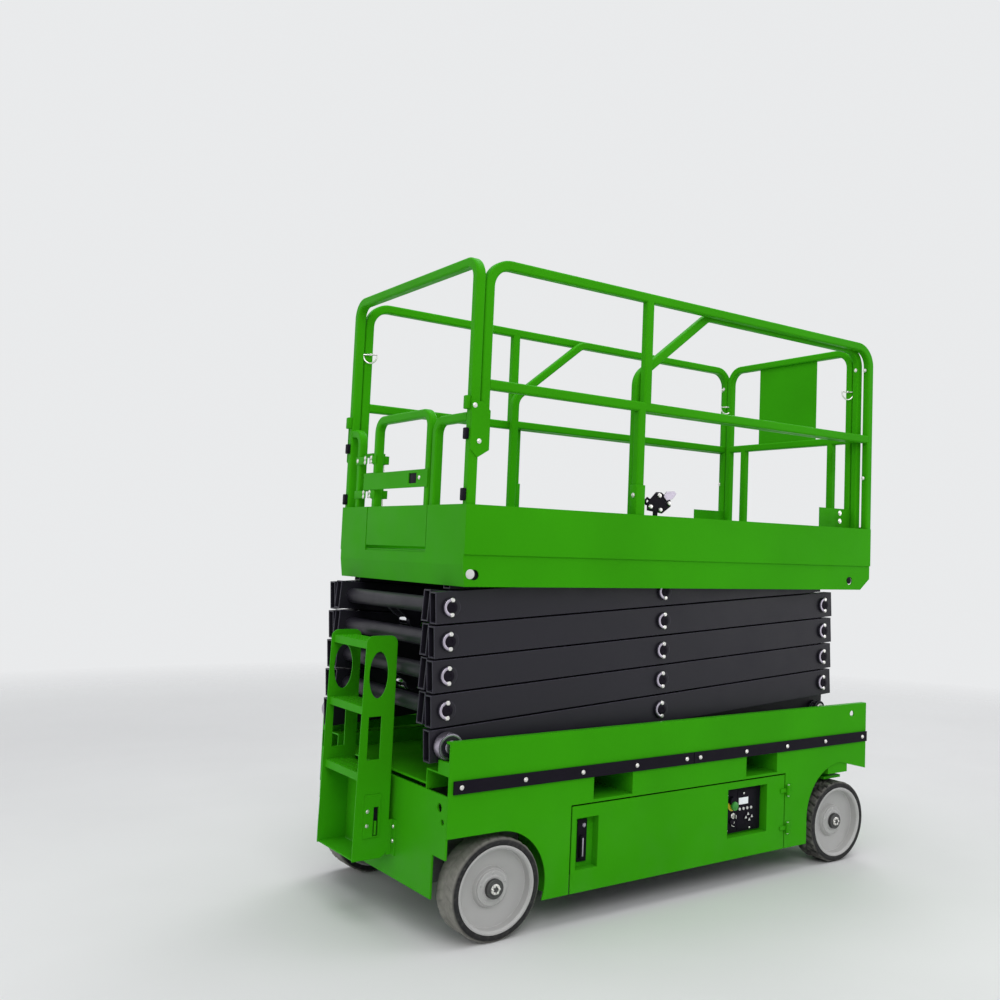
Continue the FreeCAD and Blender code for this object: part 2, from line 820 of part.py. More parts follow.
def inner_arm(level):
    """Inner pair of arms, with the pins that carry the outer pair."""
    lower_pin = arm_length / 2
    upper_pin = -upper_half(level)
    inside, outside = inner_arm_inner_face, inner_arm_outer_face
    arms = []
    for side in (-1, 1):
        pieces = [arm_tube((side * inside, side * outside), arm_ends(level, -1))]
        for x in (lower_pin, 0, upper_pin):
            if x == lower_pin and level == 1:
                continue
            if x == upper_pin and level == level_count:
                pieces.append(rod_y(x, (side * (inside + 1), side * roller_inner_face),
                                    0, pin_radius))
                pieces.append(rod_y(x, (side * roller_inner_face,
                                        side * (roller_inner_face + roller_width)),
                                    0, upper_roller_radius))
                continue
            pieces.append(rod_y(x, (side * (inside + 1), side * collar_outer_face), 0, pin_radius))
            pieces.append(rod_y(x, (side * (arm_outer_face + face_clearance),
                                    side * collar_outer_face), 0, collar_radius))
        arm = join(pieces)
        if level == 1:
            arm = arm.cut(rod_y(lower_pin, (side * (inside - 1), side * (outside + 1)), 0,
                                pin_radius + pin_clearance))
        arms.append(arm)
    return place_arm(apart(arms), level, 1)


def cross_tubes(level):
    """The two tubes between a pair of inner arms, with any ears for a lift cylinder."""
    inside = inner_arm_inner_face
    lower_pin = arm_length / 2
    lower, upper = [rod_y(x, (-inside, inside), 0, cross_tube_radius)
                    for x in (lower_pin, -upper_half(level))]
    if level in cylinder_levels:
        lower = join([lower] + cylinder_ears(level)).cut(cylinder_ear_bore())
    elif level - 1 in cylinder_levels:
        upper = join([upper] + cylinder_ears(level))
    if level == 1:
        lower = lower.cut(rod_y(lower_pin, (-inside - 1, inside + 1), 0,
                                pin_radius + pin_clearance))
    return place_arm(apart([lower, upper]), level, 1)


def cylinder_ears(level):
    """Ears on an arm's cross tube for a lift cylinder, in the arm's own frame.

    An arm that carries a barrel has them at its front end, above the tube, and the
    next arm up, which takes the rod, has them at its rear end, below the tube.
    """
    half = arm_length / 2
    ears = []
    if level in cylinder_levels:
        tube_x = half
        pin_x = half - cylinder_pin_inset
        rise = cylinder_pin_offset
    elif level - 1 in cylinder_levels:
        tube_x = -half
        pin_x = -half + cylinder_pin_inset
        rise = -cylinder_pin_offset
    else:
        return ears
    toward = 1 if tube_x > 0 else -1
    radius = cylinder_pin_radius + 12
    for side in (-1, 1):
        inner = side * (cylinder_eye_width / 2 + eye_side_gap)
        outer = inner + side * cylinder_ear_thickness
        points = [
            (tube_x, 0), (tube_x, rise * 0.4),
            (pin_x + toward * radius, rise),
            (pin_x, rise + math.copysign(radius, rise), pin_x - toward * radius, rise),
            (pin_x - toward * radius * 0.4, rise * 0.2),
        ]
        ears.append(plate_xz(points, (inner, outer)))
    return ears


def cylinder_ear_bore():
    reach = cylinder_eye_width / 2 + eye_side_gap + cylinder_ear_thickness + 1
    return rod_y(arm_length / 2 - cylinder_pin_inset, (-reach, reach), cylinder_pin_offset,
                 cylinder_pin_radius + pin_clearance)


def outer_arm(level):
    """Outer pair of arms, bored for the pins they turn on."""
    lower_pin = -arm_length / 2
    upper_pin = upper_half(level)
    pieces = []
    for side in (-1, 1):
        body = arm_tube((side * outer_arm_inner_face, side * arm_outer_face), arm_ends(level, 1))
        bores = []
        for x in (lower_pin, 0, upper_pin):
            if x == lower_pin and level == 1:
                continue
            bores.append(rod_y(x, (side * (outer_arm_inner_face - 1), side * (arm_outer_face + 1)),
                               0, pin_radius + pin_clearance))
        body = body.cut(bores)
        if level == 1:
            axle = rod_y(lower_pin, (side * (outer_arm_inner_face + 1), side * roller_inner_face),
                         0, pin_radius)
            roller = rod_y(lower_pin, (side * roller_inner_face,
                                       side * (roller_inner_face + roller_width)),
                           0, lower_roller_radius)
            body = join([body, axle, roller])
        pieces.append(body)
    return place_arm(apart(pieces), level, -1)


# Lift cylinders

def cylinder_pins(level):
    """Base pin and rod pin of the cylinder between two levels, at rest."""
    angle = math.radians(arm_rest_angle)
    half = arm_length / 2
    base_height = pin_first_height + (level - 0.5) * level_pitch
    along = Vector(math.cos(angle), 0, -math.sin(angle))
    up = Vector(math.sin(angle), 0, math.cos(angle))
    centre = Vector(pin_middle, 0, base_height)
    base = centre + along * (half - cylinder_pin_inset) + up * cylinder_pin_offset
    next_centre = centre + Vector(0, 0, level_pitch)
    end = next_centre - along * (half - cylinder_pin_inset) - up * cylinder_pin_offset
    return base, end


def cylinder_barrel(level):
    """Barrel with its base eye and pin, from the front ears to the gland."""
    base, end = cylinder_pins(level)
    axis = (end - base).normalize()
    length = base.distanceToPoint(end)
    half = cylinder_eye_width / 2
    pieces = [
        rod_y(base.x, (-half, half), base.z, cylinder_eye_radius),
        rod_y(base.x, (-half - eye_side_gap - cylinder_ear_thickness - 4,
                       half + eye_side_gap + cylinder_ear_thickness + 4),
              base.z, cylinder_pin_radius),
        Part.makeCylinder(half - 3, barrel_base_gap + 2, base, axis),
        Part.makeCylinder(barrel_radius, length - barrel_end_to_eye - barrel_base_gap,
                          base + axis * barrel_base_gap, axis),
    ]
    body = join(pieces)
    bore = Part.makeCylinder(rod_radius + 1.0, length, base + axis * (rod_start - 5), axis)
    return body.cut(bore)


def cylinder_rod(level):
    """Rod with its eye between the rear ears, retracted in the barrel."""
    base, end = cylinder_pins(level)
    axis = (end - base).normalize()
    length = base.distanceToPoint(end)
    half = cylinder_eye_width / 2
    return join([
        rod_y(end.x, (-half, half), end.z, cylinder_eye_radius),
        Part.makeCylinder(rod_radius, length - rod_start, base + axis * rod_start, axis),
    ])


# Platform

def platform_deck():
    """Deck plate with a raised tread panel and shallow ribs between the top arms."""
    inner = half_platform - skirt_inset - side_plate
    under = platform_floor - deck_plate
    panel_start = platform_rear + gate_inset + rail_tube / 2 + tread_panel_gap
    panel_half = rail_side_face - rail_tube - tread_panel_gap
    pieces = [
        block((platform_rear + side_plate, platform_front - side_plate), (-inner, inner),
              (under, platform_floor)),
        block((panel_start, extension_rear - tread_panel_gap), (-panel_half, panel_half),
              (platform_floor, platform_floor + tread_panel)),
    ]
    reach = inner_arm_inner_face - tread_panel_gap
    for place in rib_places:
        pieces.append(block((place - rib_width / 2, place + rib_width / 2), (-reach, reach),
                            (under - rib_depth, under)))
    return join(pieces)


def platform_skirt():
    """Frame round the deck: side channels with roller tracks, and the toe boards."""
    lower = half_platform - skirt_inset
    track_low = upper_track_top - side_plate
    inner = collar_outer_face + 5
    cut_start = platform_front - 70
    side_points = [
        (platform_rear, platform_floor), (platform_rear, toe_board_bottom - 40),
        (platform_rear + rear_skirt_slant, track_low),
        (cut_start, track_low), (platform_front, track_low + 55),
        (platform_front, platform_floor),
    ]
    pieces = []
    track_high = top_pin_height + upper_roller_radius + roller_clearance
    for side in (-1, 1):
        channel = [
            plate_xz(side_points, (side * (lower - side_plate), side * lower)),
            block((platform_rear + rear_skirt_slant, cut_start), (side * inner, side * lower),
                  (track_low, upper_track_top)),
            block((platform_rear + side_plate, platform_front), (side * inner, side * lower),
                  (track_high, track_high + side_plate)),
            block((platform_rear, platform_front),
                  (side * (half_platform - toe_board_thickness - 2), side * half_platform),
                  (toe_board_bottom, toe_board_top)),
        ]
        channel = join(channel)
        for x in (pin_rear + top_arm_shorter * rest_cosine, skirt_hole_front_x):
            channel = channel.cut(rod_y(x, (side * (lower - side_plate - 1), side * (lower + 1)),
                                        top_pin_height, skirt_hole_radius))
        pieces.append(channel)
    wide = half_platform - skirt_inset
    slant = platform_rear + rear_skirt_slant
    rear_points = [
        (platform_rear, platform_floor - deck_plate), (platform_rear, toe_board_bottom - 40),
        (slant, track_low), (slant + side_plate, track_low),
        (platform_rear + side_plate, toe_board_bottom - 40),
        (platform_rear + side_plate, platform_floor - deck_plate),
    ]
    ends = [
        plate_xz(rear_points, (-wide, wide)),
        block((platform_front - side_plate, platform_front), (-wide, wide),
              (track_low + 55, platform_floor - deck_plate)),
    ]
    for y in ((-half_platform, gate_near_y - 6), (gate_far_y + 6, half_platform)):
        ends.append(block((platform_rear, platform_rear + toe_board_thickness), y,
                          (toe_board_bottom, toe_board_top)))
    return join(pieces + ends)


def platform_pivot():
    """Front pivot of the platform: two ears a side and the shaft through them."""
    under = platform_floor - deck_plate
    pieces = [rod_y(platform_pin_front, (-arm_outer_face - 18, arm_outer_face + 18),
                    top_pin_height, pin_radius)]
    flange = top_pin_height + upper_roller_radius + roller_clearance
    x = platform_pin_front
    ears = ((arm_outer_face + 6, arm_outer_face + 18, flange),
            (outer_arm_inner_face - 16, outer_arm_inner_face - 4, under))
    for side in (-1, 1):
        for y in ears:
            points = [
                (x - 50, y[2]), (x - 30, top_pin_height),
                (x, top_pin_height - 30, x + 30, top_pin_height), (x + 50, y[2]),
            ]
            pieces.append(plate_xz(points, (side * y[0], side * y[1])))
    return join(pieces)


def side_rail(lower_x):
    """Main side rail: one bent tube with a middle rail and two short posts."""
    y = rail_centre_y
    rear = platform_rear + side_rail_inset
    front = rail_front
    top = rail_top - rail_tube / 2
    frame = tube([(rear, y, side_rail_foot), (rear, y, top), (front, y, top),
                  (front, y, platform_floor)], Y_AXIS)
    half = rail_tube / 2
    mid = tube([(rear + half - 4, y, mid_rail_height), (front - half + 4, y, mid_rail_height)],
               Y_AXIS)
    upper = tube([(side_post_upper_x, y, mid_rail_height), (side_post_upper_x, y, top)], Y_AXIS)
    lower = tube([(lower_x, y, platform_floor), (lower_x, y, mid_rail_height)], Y_AXIS)
    return join([frame, mid, upper, lower, rail_bracket(rear + half)])


def rail_bracket(front):
    """Plate on the outer faces of the side rail's rear foot and the rear frame's post."""
    rear = platform_rear + gate_inset - rail_tube / 2
    y = (rail_side_face, rail_side_face + rail_bracket_thickness)
    slant = side_rail_foot - rail_bracket_low
    points = [
        (rear, rail_bracket_low + slant), (rear + slant, rail_bracket_low),
        (front, side_rail_foot), (front, rail_bracket_high - slant),
        (front - slant, rail_bracket_high), (rear, rail_bracket_high),
    ]
    return plate_xz(points, y)


def rear_rail():
    """Rear frame: an upside-down U standing behind the side rails' rear posts."""
    x = platform_rear + gate_inset
    half = rail_side_face - rail_tube / 2
    top = rail_top - rail_tube / 2
    return tube([(x, -half, platform_floor), (x, -half, top), (x, half, top),
                 (x, half, platform_floor)], X_AXIS, bend=rear_frame_bend)


def gate_side():
    """Fixed half-height frames beside the gate, with the lugs the gate turns between."""
    x = platform_rear + gate_inset
    low = platform_floor
    high = gate_post_top - gate_tube / 2
    post = rail_side_face - rail_tube
    near_y, far_y = gate_post_y
    hinge_x = x + gate_hinge_forward
    near = tube([(x, near_y, low), (x, near_y, high), (x, -post, high)], X_AXIS,
                size=gate_tube, bend=gate_bend)
    far = [tube([(x, far_y, low), (x, far_y, high), (x, post, high)], X_AXIS,
                size=gate_tube, bend=gate_bend)]
    for height in gate_hinge_heights:
        top = height + gate_hinge_half + hinge_gap
        spring_top = height - gate_hinge_half - hinge_gap
        foot = spring_top - gate_spring_length
        for z in ((top, top + gate_lug_height), (foot - gate_lug_height, foot)):
            far.append(rod_z(hinge_x, gate_hinge_y, z, gate_hinge_radius + 4))
            far.append(block((x, hinge_x + gate_hinge_radius), (gate_hinge_y, far_y), z))
        far.append(rod_z(hinge_x, gate_hinge_y, (foot - 1, spring_top), gate_hinge_radius))
    return apart([near, join(far)])


def gate():
    """Self-closing entry gate with rounded corners, a cross plate and a kick plate."""
    x = platform_rear + gate_inset
    half = gate_tube / 2
    near, far = gate_frame_y
    top = gate_top - half
    frame = tube([(x, near, gate_frame_bottom), (x, near, top), (x, far, top),
                  (x, far, gate_frame_bottom)], X_AXIS, size=gate_tube, bend=gate_bend)
    plate = block((x - half - gate_plate_thickness, x - half),
                  (near - half, gate_plate_reach), gate_plate_z)
    plate = plate.cut(block((x - half - 5, x), gate_hole_y, gate_hole_z))
    kick = block((x - kick_plate_setback - 4, x - kick_plate_setback), (gate_near_y, gate_far_y),
                 (platform_floor + 14, toe_board_top))
    pieces = [frame, plate, kick]
    for y in (near, far):
        pieces.append(block((x - kick_plate_setback - 1, x - half + 4), (y - 12, y + 12),
                            (gate_frame_bottom, toe_board_top)))
    hinge_x = x + gate_hinge_forward
    for height in gate_hinge_heights:
        z = (height - gate_hinge_half, height + gate_hinge_half)
        pieces.append(rod_z(hinge_x, gate_hinge_y, z, gate_hinge_radius + 2))
        pieces.append(block((x, hinge_x + 4), (far, gate_hinge_y), z))
    return join(pieces)


# Extension deck

def extension_deck():
    """Sliding deck on four pads, with its tread panel and toe boards at the front."""
    low = platform_floor + extension_clearance
    half = extension_half
    toe_outer = extension_rail_y - extension_rail_tube / 2 - face_clearance
    front = platform_front - 2
    panel_end = platform_front - extension_front_inset - extension_rail_tube / 2 - tread_panel_gap
    panel_half = front_frame_y() - extension_rail_tube / 2 - tread_panel_gap
    pieces = [
        block((extension_rear, front), (-half, half), (low, low + extension_plate)),
        block((extension_rear + 30, panel_end), (-panel_half, panel_half),
              (low + extension_plate, low + extension_plate + tread_panel)),
        block((front - 6, front), (-half, half), (low, toe_board_top + 10)),
    ]
    for side in (-1, 1):
        pieces.append(block((front - extension_toe_length, front),
                            (side * (toe_outer - toe_board_thickness), side * toe_outer),
                            (low, low + extension_toe_height)))
    for x in (extension_rear + 60, platform_front - 120):
        for side in (-1, 1):
            pieces.append(block((x, x + 60), (side * (half - 70), side * (half - 20)),
                                (platform_floor + roller_clearance, low)))
    return join(pieces)


def front_frame_y():
    """Middle of the front frame's posts, inside the side frames and their toe boards."""
    return extension_rail_y - extension_rail_tube - toe_board_thickness - 3 * face_clearance


def extension_rail():
    """Extension side frame: one bent tube with a slanted rear corner."""
    y = extension_rail_y
    size = extension_rail_tube
    low = platform_floor + extension_clearance + extension_plate
    top = extension_rail_top - size / 2
    rear = extension_rear + extension_post_inset
    front = platform_front - extension_front_inset
    frame = tube([(rear, y, low), (rear, y, extension_elbow_height),
                  (rear + extension_slant, y, top), (front, y, top), (front, y, low)],
                 Y_AXIS, size=size, bend=extension_bend)
    end = size / 2 - rail_end_sink
    mid = tube([(rear + end, y, mid_rail_height), (front - end, y, mid_rail_height)], Y_AXIS,
               size=size)
    return join([frame, mid])


def extension_front_rail():
    """Front frame: an upside-down U with a middle rail, two short posts and a plate."""
    x = platform_front - extension_front_inset
    size = extension_rail_tube
    half = front_frame_y()
    end = half - size / 2 + rail_end_sink
    low = platform_floor + extension_clearance + extension_plate
    top = extension_rail_top - size / 2
    pieces = [
        tube([(x, -half, low), (x, -half, top), (x, half, top), (x, half, low)],
             X_AXIS, size=size, bend=extension_bend),
        tube([(x, -end, mid_rail_height), (x, end, mid_rail_height)], X_AXIS, size=size),
        block((x - 3, x + 3), (-front_plate_half, front_plate_half), (mid_rail_height, top)),
    ]
    for y in (-front_post_y, front_post_y):
        pieces.append(tube([(x, y, low), (x, y, mid_rail_height)], X_AXIS, size=size))
    return join(pieces)


def lock_lever():
    """Foot lever that locks the extension, on its bracket."""
    low = platform_floor + extension_clearance + extension_plate
    middle = -extension_half + lock_lever_inset
    bracket = block((lock_lever_x, lock_lever_x + 80), (middle - 15, middle + 15), (low, low + 60))
    handle = rod_x((lock_lever_x - 60, lock_lever_x + 40), middle, low + 70, 12)
    return join([bracket, handle])


def main():
    os.makedirs("parts", exist_ok=True)
    side = chassis_side()
    save("chassis_side_far", side)
    save("chassis_side_near", across(side))
    save("fork_pockets", fork_pockets())
    save("chassis_floor", chassis_floor())
    save("rear_panel", rear_panel())
    save("front_panel", front_panel())
    save("pivot_bracket", pivot_bracket())
    save("ladder", ladder())
    save("rub_strips", rub_strips())
    save("rear_axle", rear_axle_unit())

    knuckle_far = knuckle()
    wheels = (("rear", rear_axle), ("front", front_axle))
    door = tray_door()
    pan = tray()
    save("ground_controls_near", across(ground_controls()))
    save("tray_battery_near", across(tray_load(tray_rear + battery_from_end)))
    save("tray_power_unit_far", tray_load(tray_rear + power_unit_from_end))
    extension_side = extension_rail()
    for name, sign in SIDES:
        def on_side(shape):
            return across(shape) if sign < 0 else shape
        save("knuckle_" + name, on_side(knuckle_far))
        save("tray_door_" + name, on_side(door))
        save("tray_" + name, on_side(pan))
        lower_x = side_post_lower_near_x if sign < 0 else side_post_lower_far_x
        save("rail_side_" + name, on_side(side_rail(lower_x)))
        save("extension_rail_" + name, on_side(extension_side))
        for end, axle in wheels:
            save("rim_" + end + "_" + name, on_side(rim(axle)))
            save("tyre_" + end + "_" + name, on_side(tyre(axle)))

    for level in range(1, level_count + 1):
        save("arm_inner_" + str(level), inner_arm(level))
        save("arm_cross_" + str(level), cross_tubes(level))
        save("arm_outer_" + str(level), outer_arm(level))
    for number, level in enumerate(cylinder_levels, 1):
        save("cylinder_barrel_" + str(number), cylinder_barrel(level))
        save("cylinder_rod_" + str(number), cylinder_rod(level))

    save("platform_deck", platform_deck())
    save("platform_skirt", platform_skirt())
    save("platform_pivot", platform_pivot())
    save("rail_rear", rear_rail())
    save("gate_side_rails", gate_side())
    save("gate", gate())
    save("extension_deck", extension_deck())
    save("extension_front_rail", extension_front_rail())
    save("lock_lever", lock_lever())


main()
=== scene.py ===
import json
import math

import bmesh
import bpy
from bpy.props import FloatProperty, FloatVectorProperty, IntProperty, PointerProperty
from mathutils import Matrix, Vector


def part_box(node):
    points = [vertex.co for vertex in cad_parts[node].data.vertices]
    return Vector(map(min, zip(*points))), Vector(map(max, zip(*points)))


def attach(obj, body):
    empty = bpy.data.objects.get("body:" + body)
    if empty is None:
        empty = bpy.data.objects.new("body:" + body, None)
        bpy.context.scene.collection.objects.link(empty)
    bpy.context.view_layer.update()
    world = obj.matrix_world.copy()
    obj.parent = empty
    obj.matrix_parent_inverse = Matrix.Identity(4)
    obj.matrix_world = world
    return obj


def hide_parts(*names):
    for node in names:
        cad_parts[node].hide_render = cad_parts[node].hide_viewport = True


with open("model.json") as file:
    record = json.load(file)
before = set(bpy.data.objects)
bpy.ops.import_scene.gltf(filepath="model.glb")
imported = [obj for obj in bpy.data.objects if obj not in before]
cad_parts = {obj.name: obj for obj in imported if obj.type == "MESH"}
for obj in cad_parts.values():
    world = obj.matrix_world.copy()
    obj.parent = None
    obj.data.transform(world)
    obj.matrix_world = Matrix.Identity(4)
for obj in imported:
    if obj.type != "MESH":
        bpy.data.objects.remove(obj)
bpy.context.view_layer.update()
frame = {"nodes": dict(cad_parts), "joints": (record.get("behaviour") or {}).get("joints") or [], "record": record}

bl_info = {
    "name": "Scissor Lift Dressing",
    "version": (1, 0, 0),
    "blender": (4, 5, 0),
    "location": "View3D > Sidebar > Lift",
    "description": "Finishes, treads, fasteners and small fittings for a slab scissor lift",
    "category": "Object",
}

JOINTS = {joint["name"]: joint for joint in frame["joints"]}
SIDES = (("near", -1), ("far", 1))

# Sizes and places that several fittings share, in metres

# Half of the width over the chassis sides
SIDE_FACE = 0.585
HALF_LADDER_PLATE = 0.003
HALF_RAIL_TUBE = 0.020
HALF_SLIDING_TUBE = 0.019
# Half of the clear width between the guard rails
RAIL_INNER = 0.5205
# For the lower post of each side: its x, the top of its sleeve and the height of its bolt
LOWER_POSTS = {"near": (-0.253, 1.757, 1.712), "far": (-0.199, 1.800, 1.761)}
# Centres of the direction buttons from the corner of the ground controls, a leaning cross
DIRECTION_BUTTONS = ((0.150, 0.076), (0.136, 0.062), (0.158, 0.050), (0.174, 0.063))

# Colours that several finishes share

# Tint of the green paint's gloss
GREEN_TINT = (0.16, 1.0, 0.06)
DUST = (0.30, 0.29, 0.26)

# Settings

class LiftFinish(bpy.types.PropertyGroup):
    """Colours and gloss of the paints, plastics and metals."""

    green: FloatVectorProperty(
        name="Green paint", description="Paint on the chassis, platform and rails",
        default=(0.045, 0.382, 0.0052), subtype="COLOR", min=0.0, max=1.0)
    green_roughness: FloatProperty(
        name="Green roughness", description="Higher values give a duller paint",
        default=0.42, min=0.05, max=1.0, subtype="FACTOR")
    black: FloatVectorProperty(
        name="Arm paint", description="Black paint on the scissor arms",
        default=(0.0130, 0.0118, 0.0180), subtype="COLOR", min=0.0, max=1.0)
    black_roughness: FloatProperty(
        name="Arm roughness", description="Higher values give a duller arm",
        default=0.44, min=0.05, max=1.0, subtype="FACTOR")
    rim: FloatVectorProperty(
        name="Rim paint", description="Pale grey paint on the wheels",
        default=(0.50, 0.495, 0.485), subtype="COLOR", min=0.0, max=1.0)
    rubber: FloatVectorProperty(
        name="Rubber", description="Solid rubber of the tyres",
        default=(0.012, 0.012, 0.013), subtype="COLOR", min=0.0, max=1.0)
    film: FloatVectorProperty(
        name="Tread dust", description="Grey film that lies on the tread",
        default=(0.32, 0.31, 0.275), subtype="COLOR", min=0.0, max=1.0)
    plastic: FloatVectorProperty(
        name="Black plastic", description="Rub strips, latches and control panel",
        default=(0.0085, 0.0065, 0.0120), subtype="COLOR", min=0.0, max=1.0)
    zinc: FloatVectorProperty(
        name="Zinc", description="Plated bolts, pins and washers",
        default=(0.78, 0.77, 0.74), subtype="COLOR", min=0.0, max=1.0)


class LiftDetail(bpy.types.PropertyGroup):
    """Sizes of the fasteners and treads."""

    groove_depth: FloatProperty(
        name="Groove depth", description="Depth of the grooves in the tyre tread",
        default=0.007, min=0.0, max=0.015, unit="LENGTH")
    groove_pitch: IntProperty(
        name="Tread blocks", description="Number of tread blocks round one tyre",
        default=30, min=8, max=60)
    strip_bolt: FloatProperty(
        name="Strip bolt", description="Head radius of the bolts in the rub strips",
        default=0.0070, min=0.004, max=0.02, unit="LENGTH")
    pin_bolt: FloatProperty(
        name="Pin bolt", description="Head radius of the bolts that keep the arm pins",
        default=0.0085, min=0.004, max=0.02, unit="LENGTH")
    edge: FloatProperty(
        name="Edge", description="Radius by which shading rounds a cut edge",
        default=0.0022, min=0.0, max=0.01, unit="LENGTH")


# Materials

class Nodes:
    """Short way to add shader nodes to one material."""

    def __init__(self, name):
        self.material = bpy.data.materials.new(name)
        self.material.use_nodes = True
        self.tree = self.material.node_tree
        self.tree.nodes.clear()
        self.output = self.tree.nodes.new("ShaderNodeOutputMaterial")
        self.shader = self.tree.nodes.new("ShaderNodeBsdfPrincipled")
        self.tree.links.new(self.shader.outputs["BSDF"], self.output.inputs["Surface"])
        self.place = self.tree.nodes.new("ShaderNodeTexCoord").outputs["Object"]

    def add(self, kind, **values):
        """A new node with the named properties set."""
        node = self.tree.nodes.new(kind)
        for key, value in values.items():
            setattr(node, key, value)
        return node

    def link(self, output, target):
        self.tree.links.new(output, target)

    def set(self, **values):
        """Set numbers or colours right on the shader's sockets."""
        for key, value in values.items():
            self.shader.inputs[key.replace("_", " ")].default_value = value

    def noise(self, scale, detail=3.0, stretch=None, roughness=0.5):
        """Uneven value between 0 and 1 over the surface, drawn out where stretch is given."""
        node = self.add("ShaderNodeTexNoise")
        node.inputs["Scale"].default_value = scale
        node.inputs["Detail"].default_value = detail
        node.inputs["Roughness"].default_value = roughness
        place = self.place
        if stretch:
            mapping = self.add("ShaderNodeMapping")
            mapping.inputs["Scale"].default_value = stretch
            self.link(place, mapping.inputs["Vector"])
            place = mapping.outputs["Vector"]
        self.link(place, node.inputs["Vector"])
        return node.outputs["Fac"]

    def ramp(self, value, low, high, start=0.0, end=1.0):
        """A value moved from the range low to high into the range start to end."""
        node = self.add("ShaderNodeMapRange")
        node.inputs["From Min"].default_value = low
        node.inputs["From Max"].default_value = high
        node.inputs["To Min"].default_value = start
        node.inputs["To Max"].default_value = end
        self.link(value, node.inputs["Value"])
        return node.outputs["Result"]

    def times(self, first, second):
        """The product of two values, which are numbers or outputs."""
        node = self.add("ShaderNodeMath", operation="MULTIPLY")
        for value, target in ((first, node.inputs[0]), (second, node.inputs[1])):
            if isinstance(value, (int, float)):
                target.default_value = value
            else:
                self.link(value, target)
        return node.outputs["Value"]

    def mix(self, amount, first, second):
        """Colour between first and second, which are colours or outputs."""
        node = self.add("ShaderNodeMix", data_type="RGBA")
        if isinstance(amount, (int, float)):
            node.inputs[0].default_value = amount
        else:
            self.link(amount, node.inputs[0])
        for value, target in ((first, node.inputs[6]), (second, node.inputs[7])):
            if isinstance(value, bpy.types.NodeSocket):
                self.link(value, target)
            else:
                target.default_value = (*value[:3], 1.0)
        return node.outputs[2]

    def edges(self, radius):
        """A mask that is 1 on edges and 0 on flats, with the rounded normal."""
        bevel = self.add("ShaderNodeBevel", samples=4)
        bevel.inputs["Radius"].default_value = radius
        geometry = self.add("ShaderNodeNewGeometry")
        dot = self.add("ShaderNodeVectorMath", operation="DOT_PRODUCT")
        self.link(bevel.outputs["Normal"], dot.inputs[0])
        self.link(geometry.outputs["Normal"], dot.inputs[1])
        mask = self.ramp(dot.outputs["Value"], 0.985, 0.80, 0.0, 1.0)
        return mask, bevel.outputs["Normal"]

    def bump(self, height, strength, distance, normal=None):
        """Relief from a height value, on top of a rounded normal where one is given."""
        node = self.add("ShaderNodeBump")
        node.inputs["Strength"].default_value = strength
        node.inputs["Distance"].default_value = distance
        self.link(height, node.inputs["Height"])
        if normal is not None:
            self.link(normal, node.inputs["Normal"])
        self.link(node.outputs["Normal"], self.shader.inputs["Normal"])

    def height(self):
        """Height above the ground, in metres."""
        node = self.add("ShaderNodeSeparateXYZ")
        self.link(self.place, node.inputs["Vector"])
        return node.outputs["Z"]


def shade(colour, factor):
    """A colour made lighter or darker by a factor."""
    return tuple(min(1.0, channel * factor) for channel in colour)


def paint(name, colour, roughness, edge, dust=0.0, scuff_and_highlight_amount=0.35, bright=1.6, shine=0.3,
          tint=(1.0, 1.0, 1.0)):
    """Sprayed paint with a faint orange peel, uneven gloss, thin dust, and edges painted lighter: a few rubbed
    spots, but mostly a painted highlight.
    """
    make = Nodes(name)
    broad = make.noise(2.3, 2.0)
    fine = make.noise(38.0, 4.0, roughness=0.6)
    base = make.mix(make.ramp(broad, 0.3, 0.7), shade(colour, 0.93), shade(colour, 1.06))
    mask, rounded = make.edges(edge)
    # Painted highlight: the edges are lightened to stand in for light caught on rounded corners and flanges, with
    # a little rubbed paint mixed in
    scuff_and_highlight = make.times(mask, make.ramp(fine, 0.25, 0.50, 0.3, 1.0))
    base = make.mix(make.times(scuff_and_highlight, scuff_and_highlight_amount), base, shade(colour, bright))
    if dust:
        low = make.ramp(make.height(), 0.55, 0.08)
        settled = make.times(low, make.ramp(make.noise(7.0, 5.0), 0.42, 0.75))
        base = make.mix(make.times(settled, dust), base, DUST)
    make.link(base, make.shader.inputs["Base Color"])
    gloss = make.ramp(make.noise(9.0, 4.0), 0.3, 0.7, roughness * 0.88, roughness * 1.18)
    make.link(gloss, make.shader.inputs["Roughness"])
    make.set(Specular_IOR_Level=shine, Specular_Tint=(*tint, 1.0))
    make.bump(make.noise(420.0, 1.0), 0.05, 0.0006, rounded)
    return make.material


def deck_paint(name, colour, edge):
    """Green paint that has a raised slip pattern, scuffed by feet, on the faces that look up."""
    make = Nodes(name)
    cells = make.add("ShaderNodeTexVoronoi")
    cells.inputs["Scale"].default_value = 34.0
    cells.inputs["Randomness"].default_value = 0.0
    make.link(make.place, cells.inputs["Vector"])
    normal = make.add("ShaderNodeSeparateXYZ")
    make.link(make.add("ShaderNodeTexCoord").outputs["Normal"], normal.inputs["Vector"])
    up = make.ramp(normal.outputs["Z"], 0.6, 0.9)
    raised = make.times(make.ramp(cells.outputs["Distance"], 0.30, 0.22), up)
    walked = make.ramp(make.noise(3.0, 5.0), 0.45, 0.7)
    trodden = (0.22, 0.26, 0.2)
    base = make.mix(make.times(make.times(raised, walked), 0.5), colour, trodden)
    make.link(base, make.shader.inputs["Base Color"])
    make.link(make.ramp(walked, 0.0, 1.0, 0.42, 0.60), make.shader.inputs["Roughness"])
    make.set(Specular_IOR_Level=0.08, Specular_Tint=(*GREEN_TINT, 1.0))
    make.bump(raised, 0.5, 0.002, make.edges(edge)[1])
    return make.material


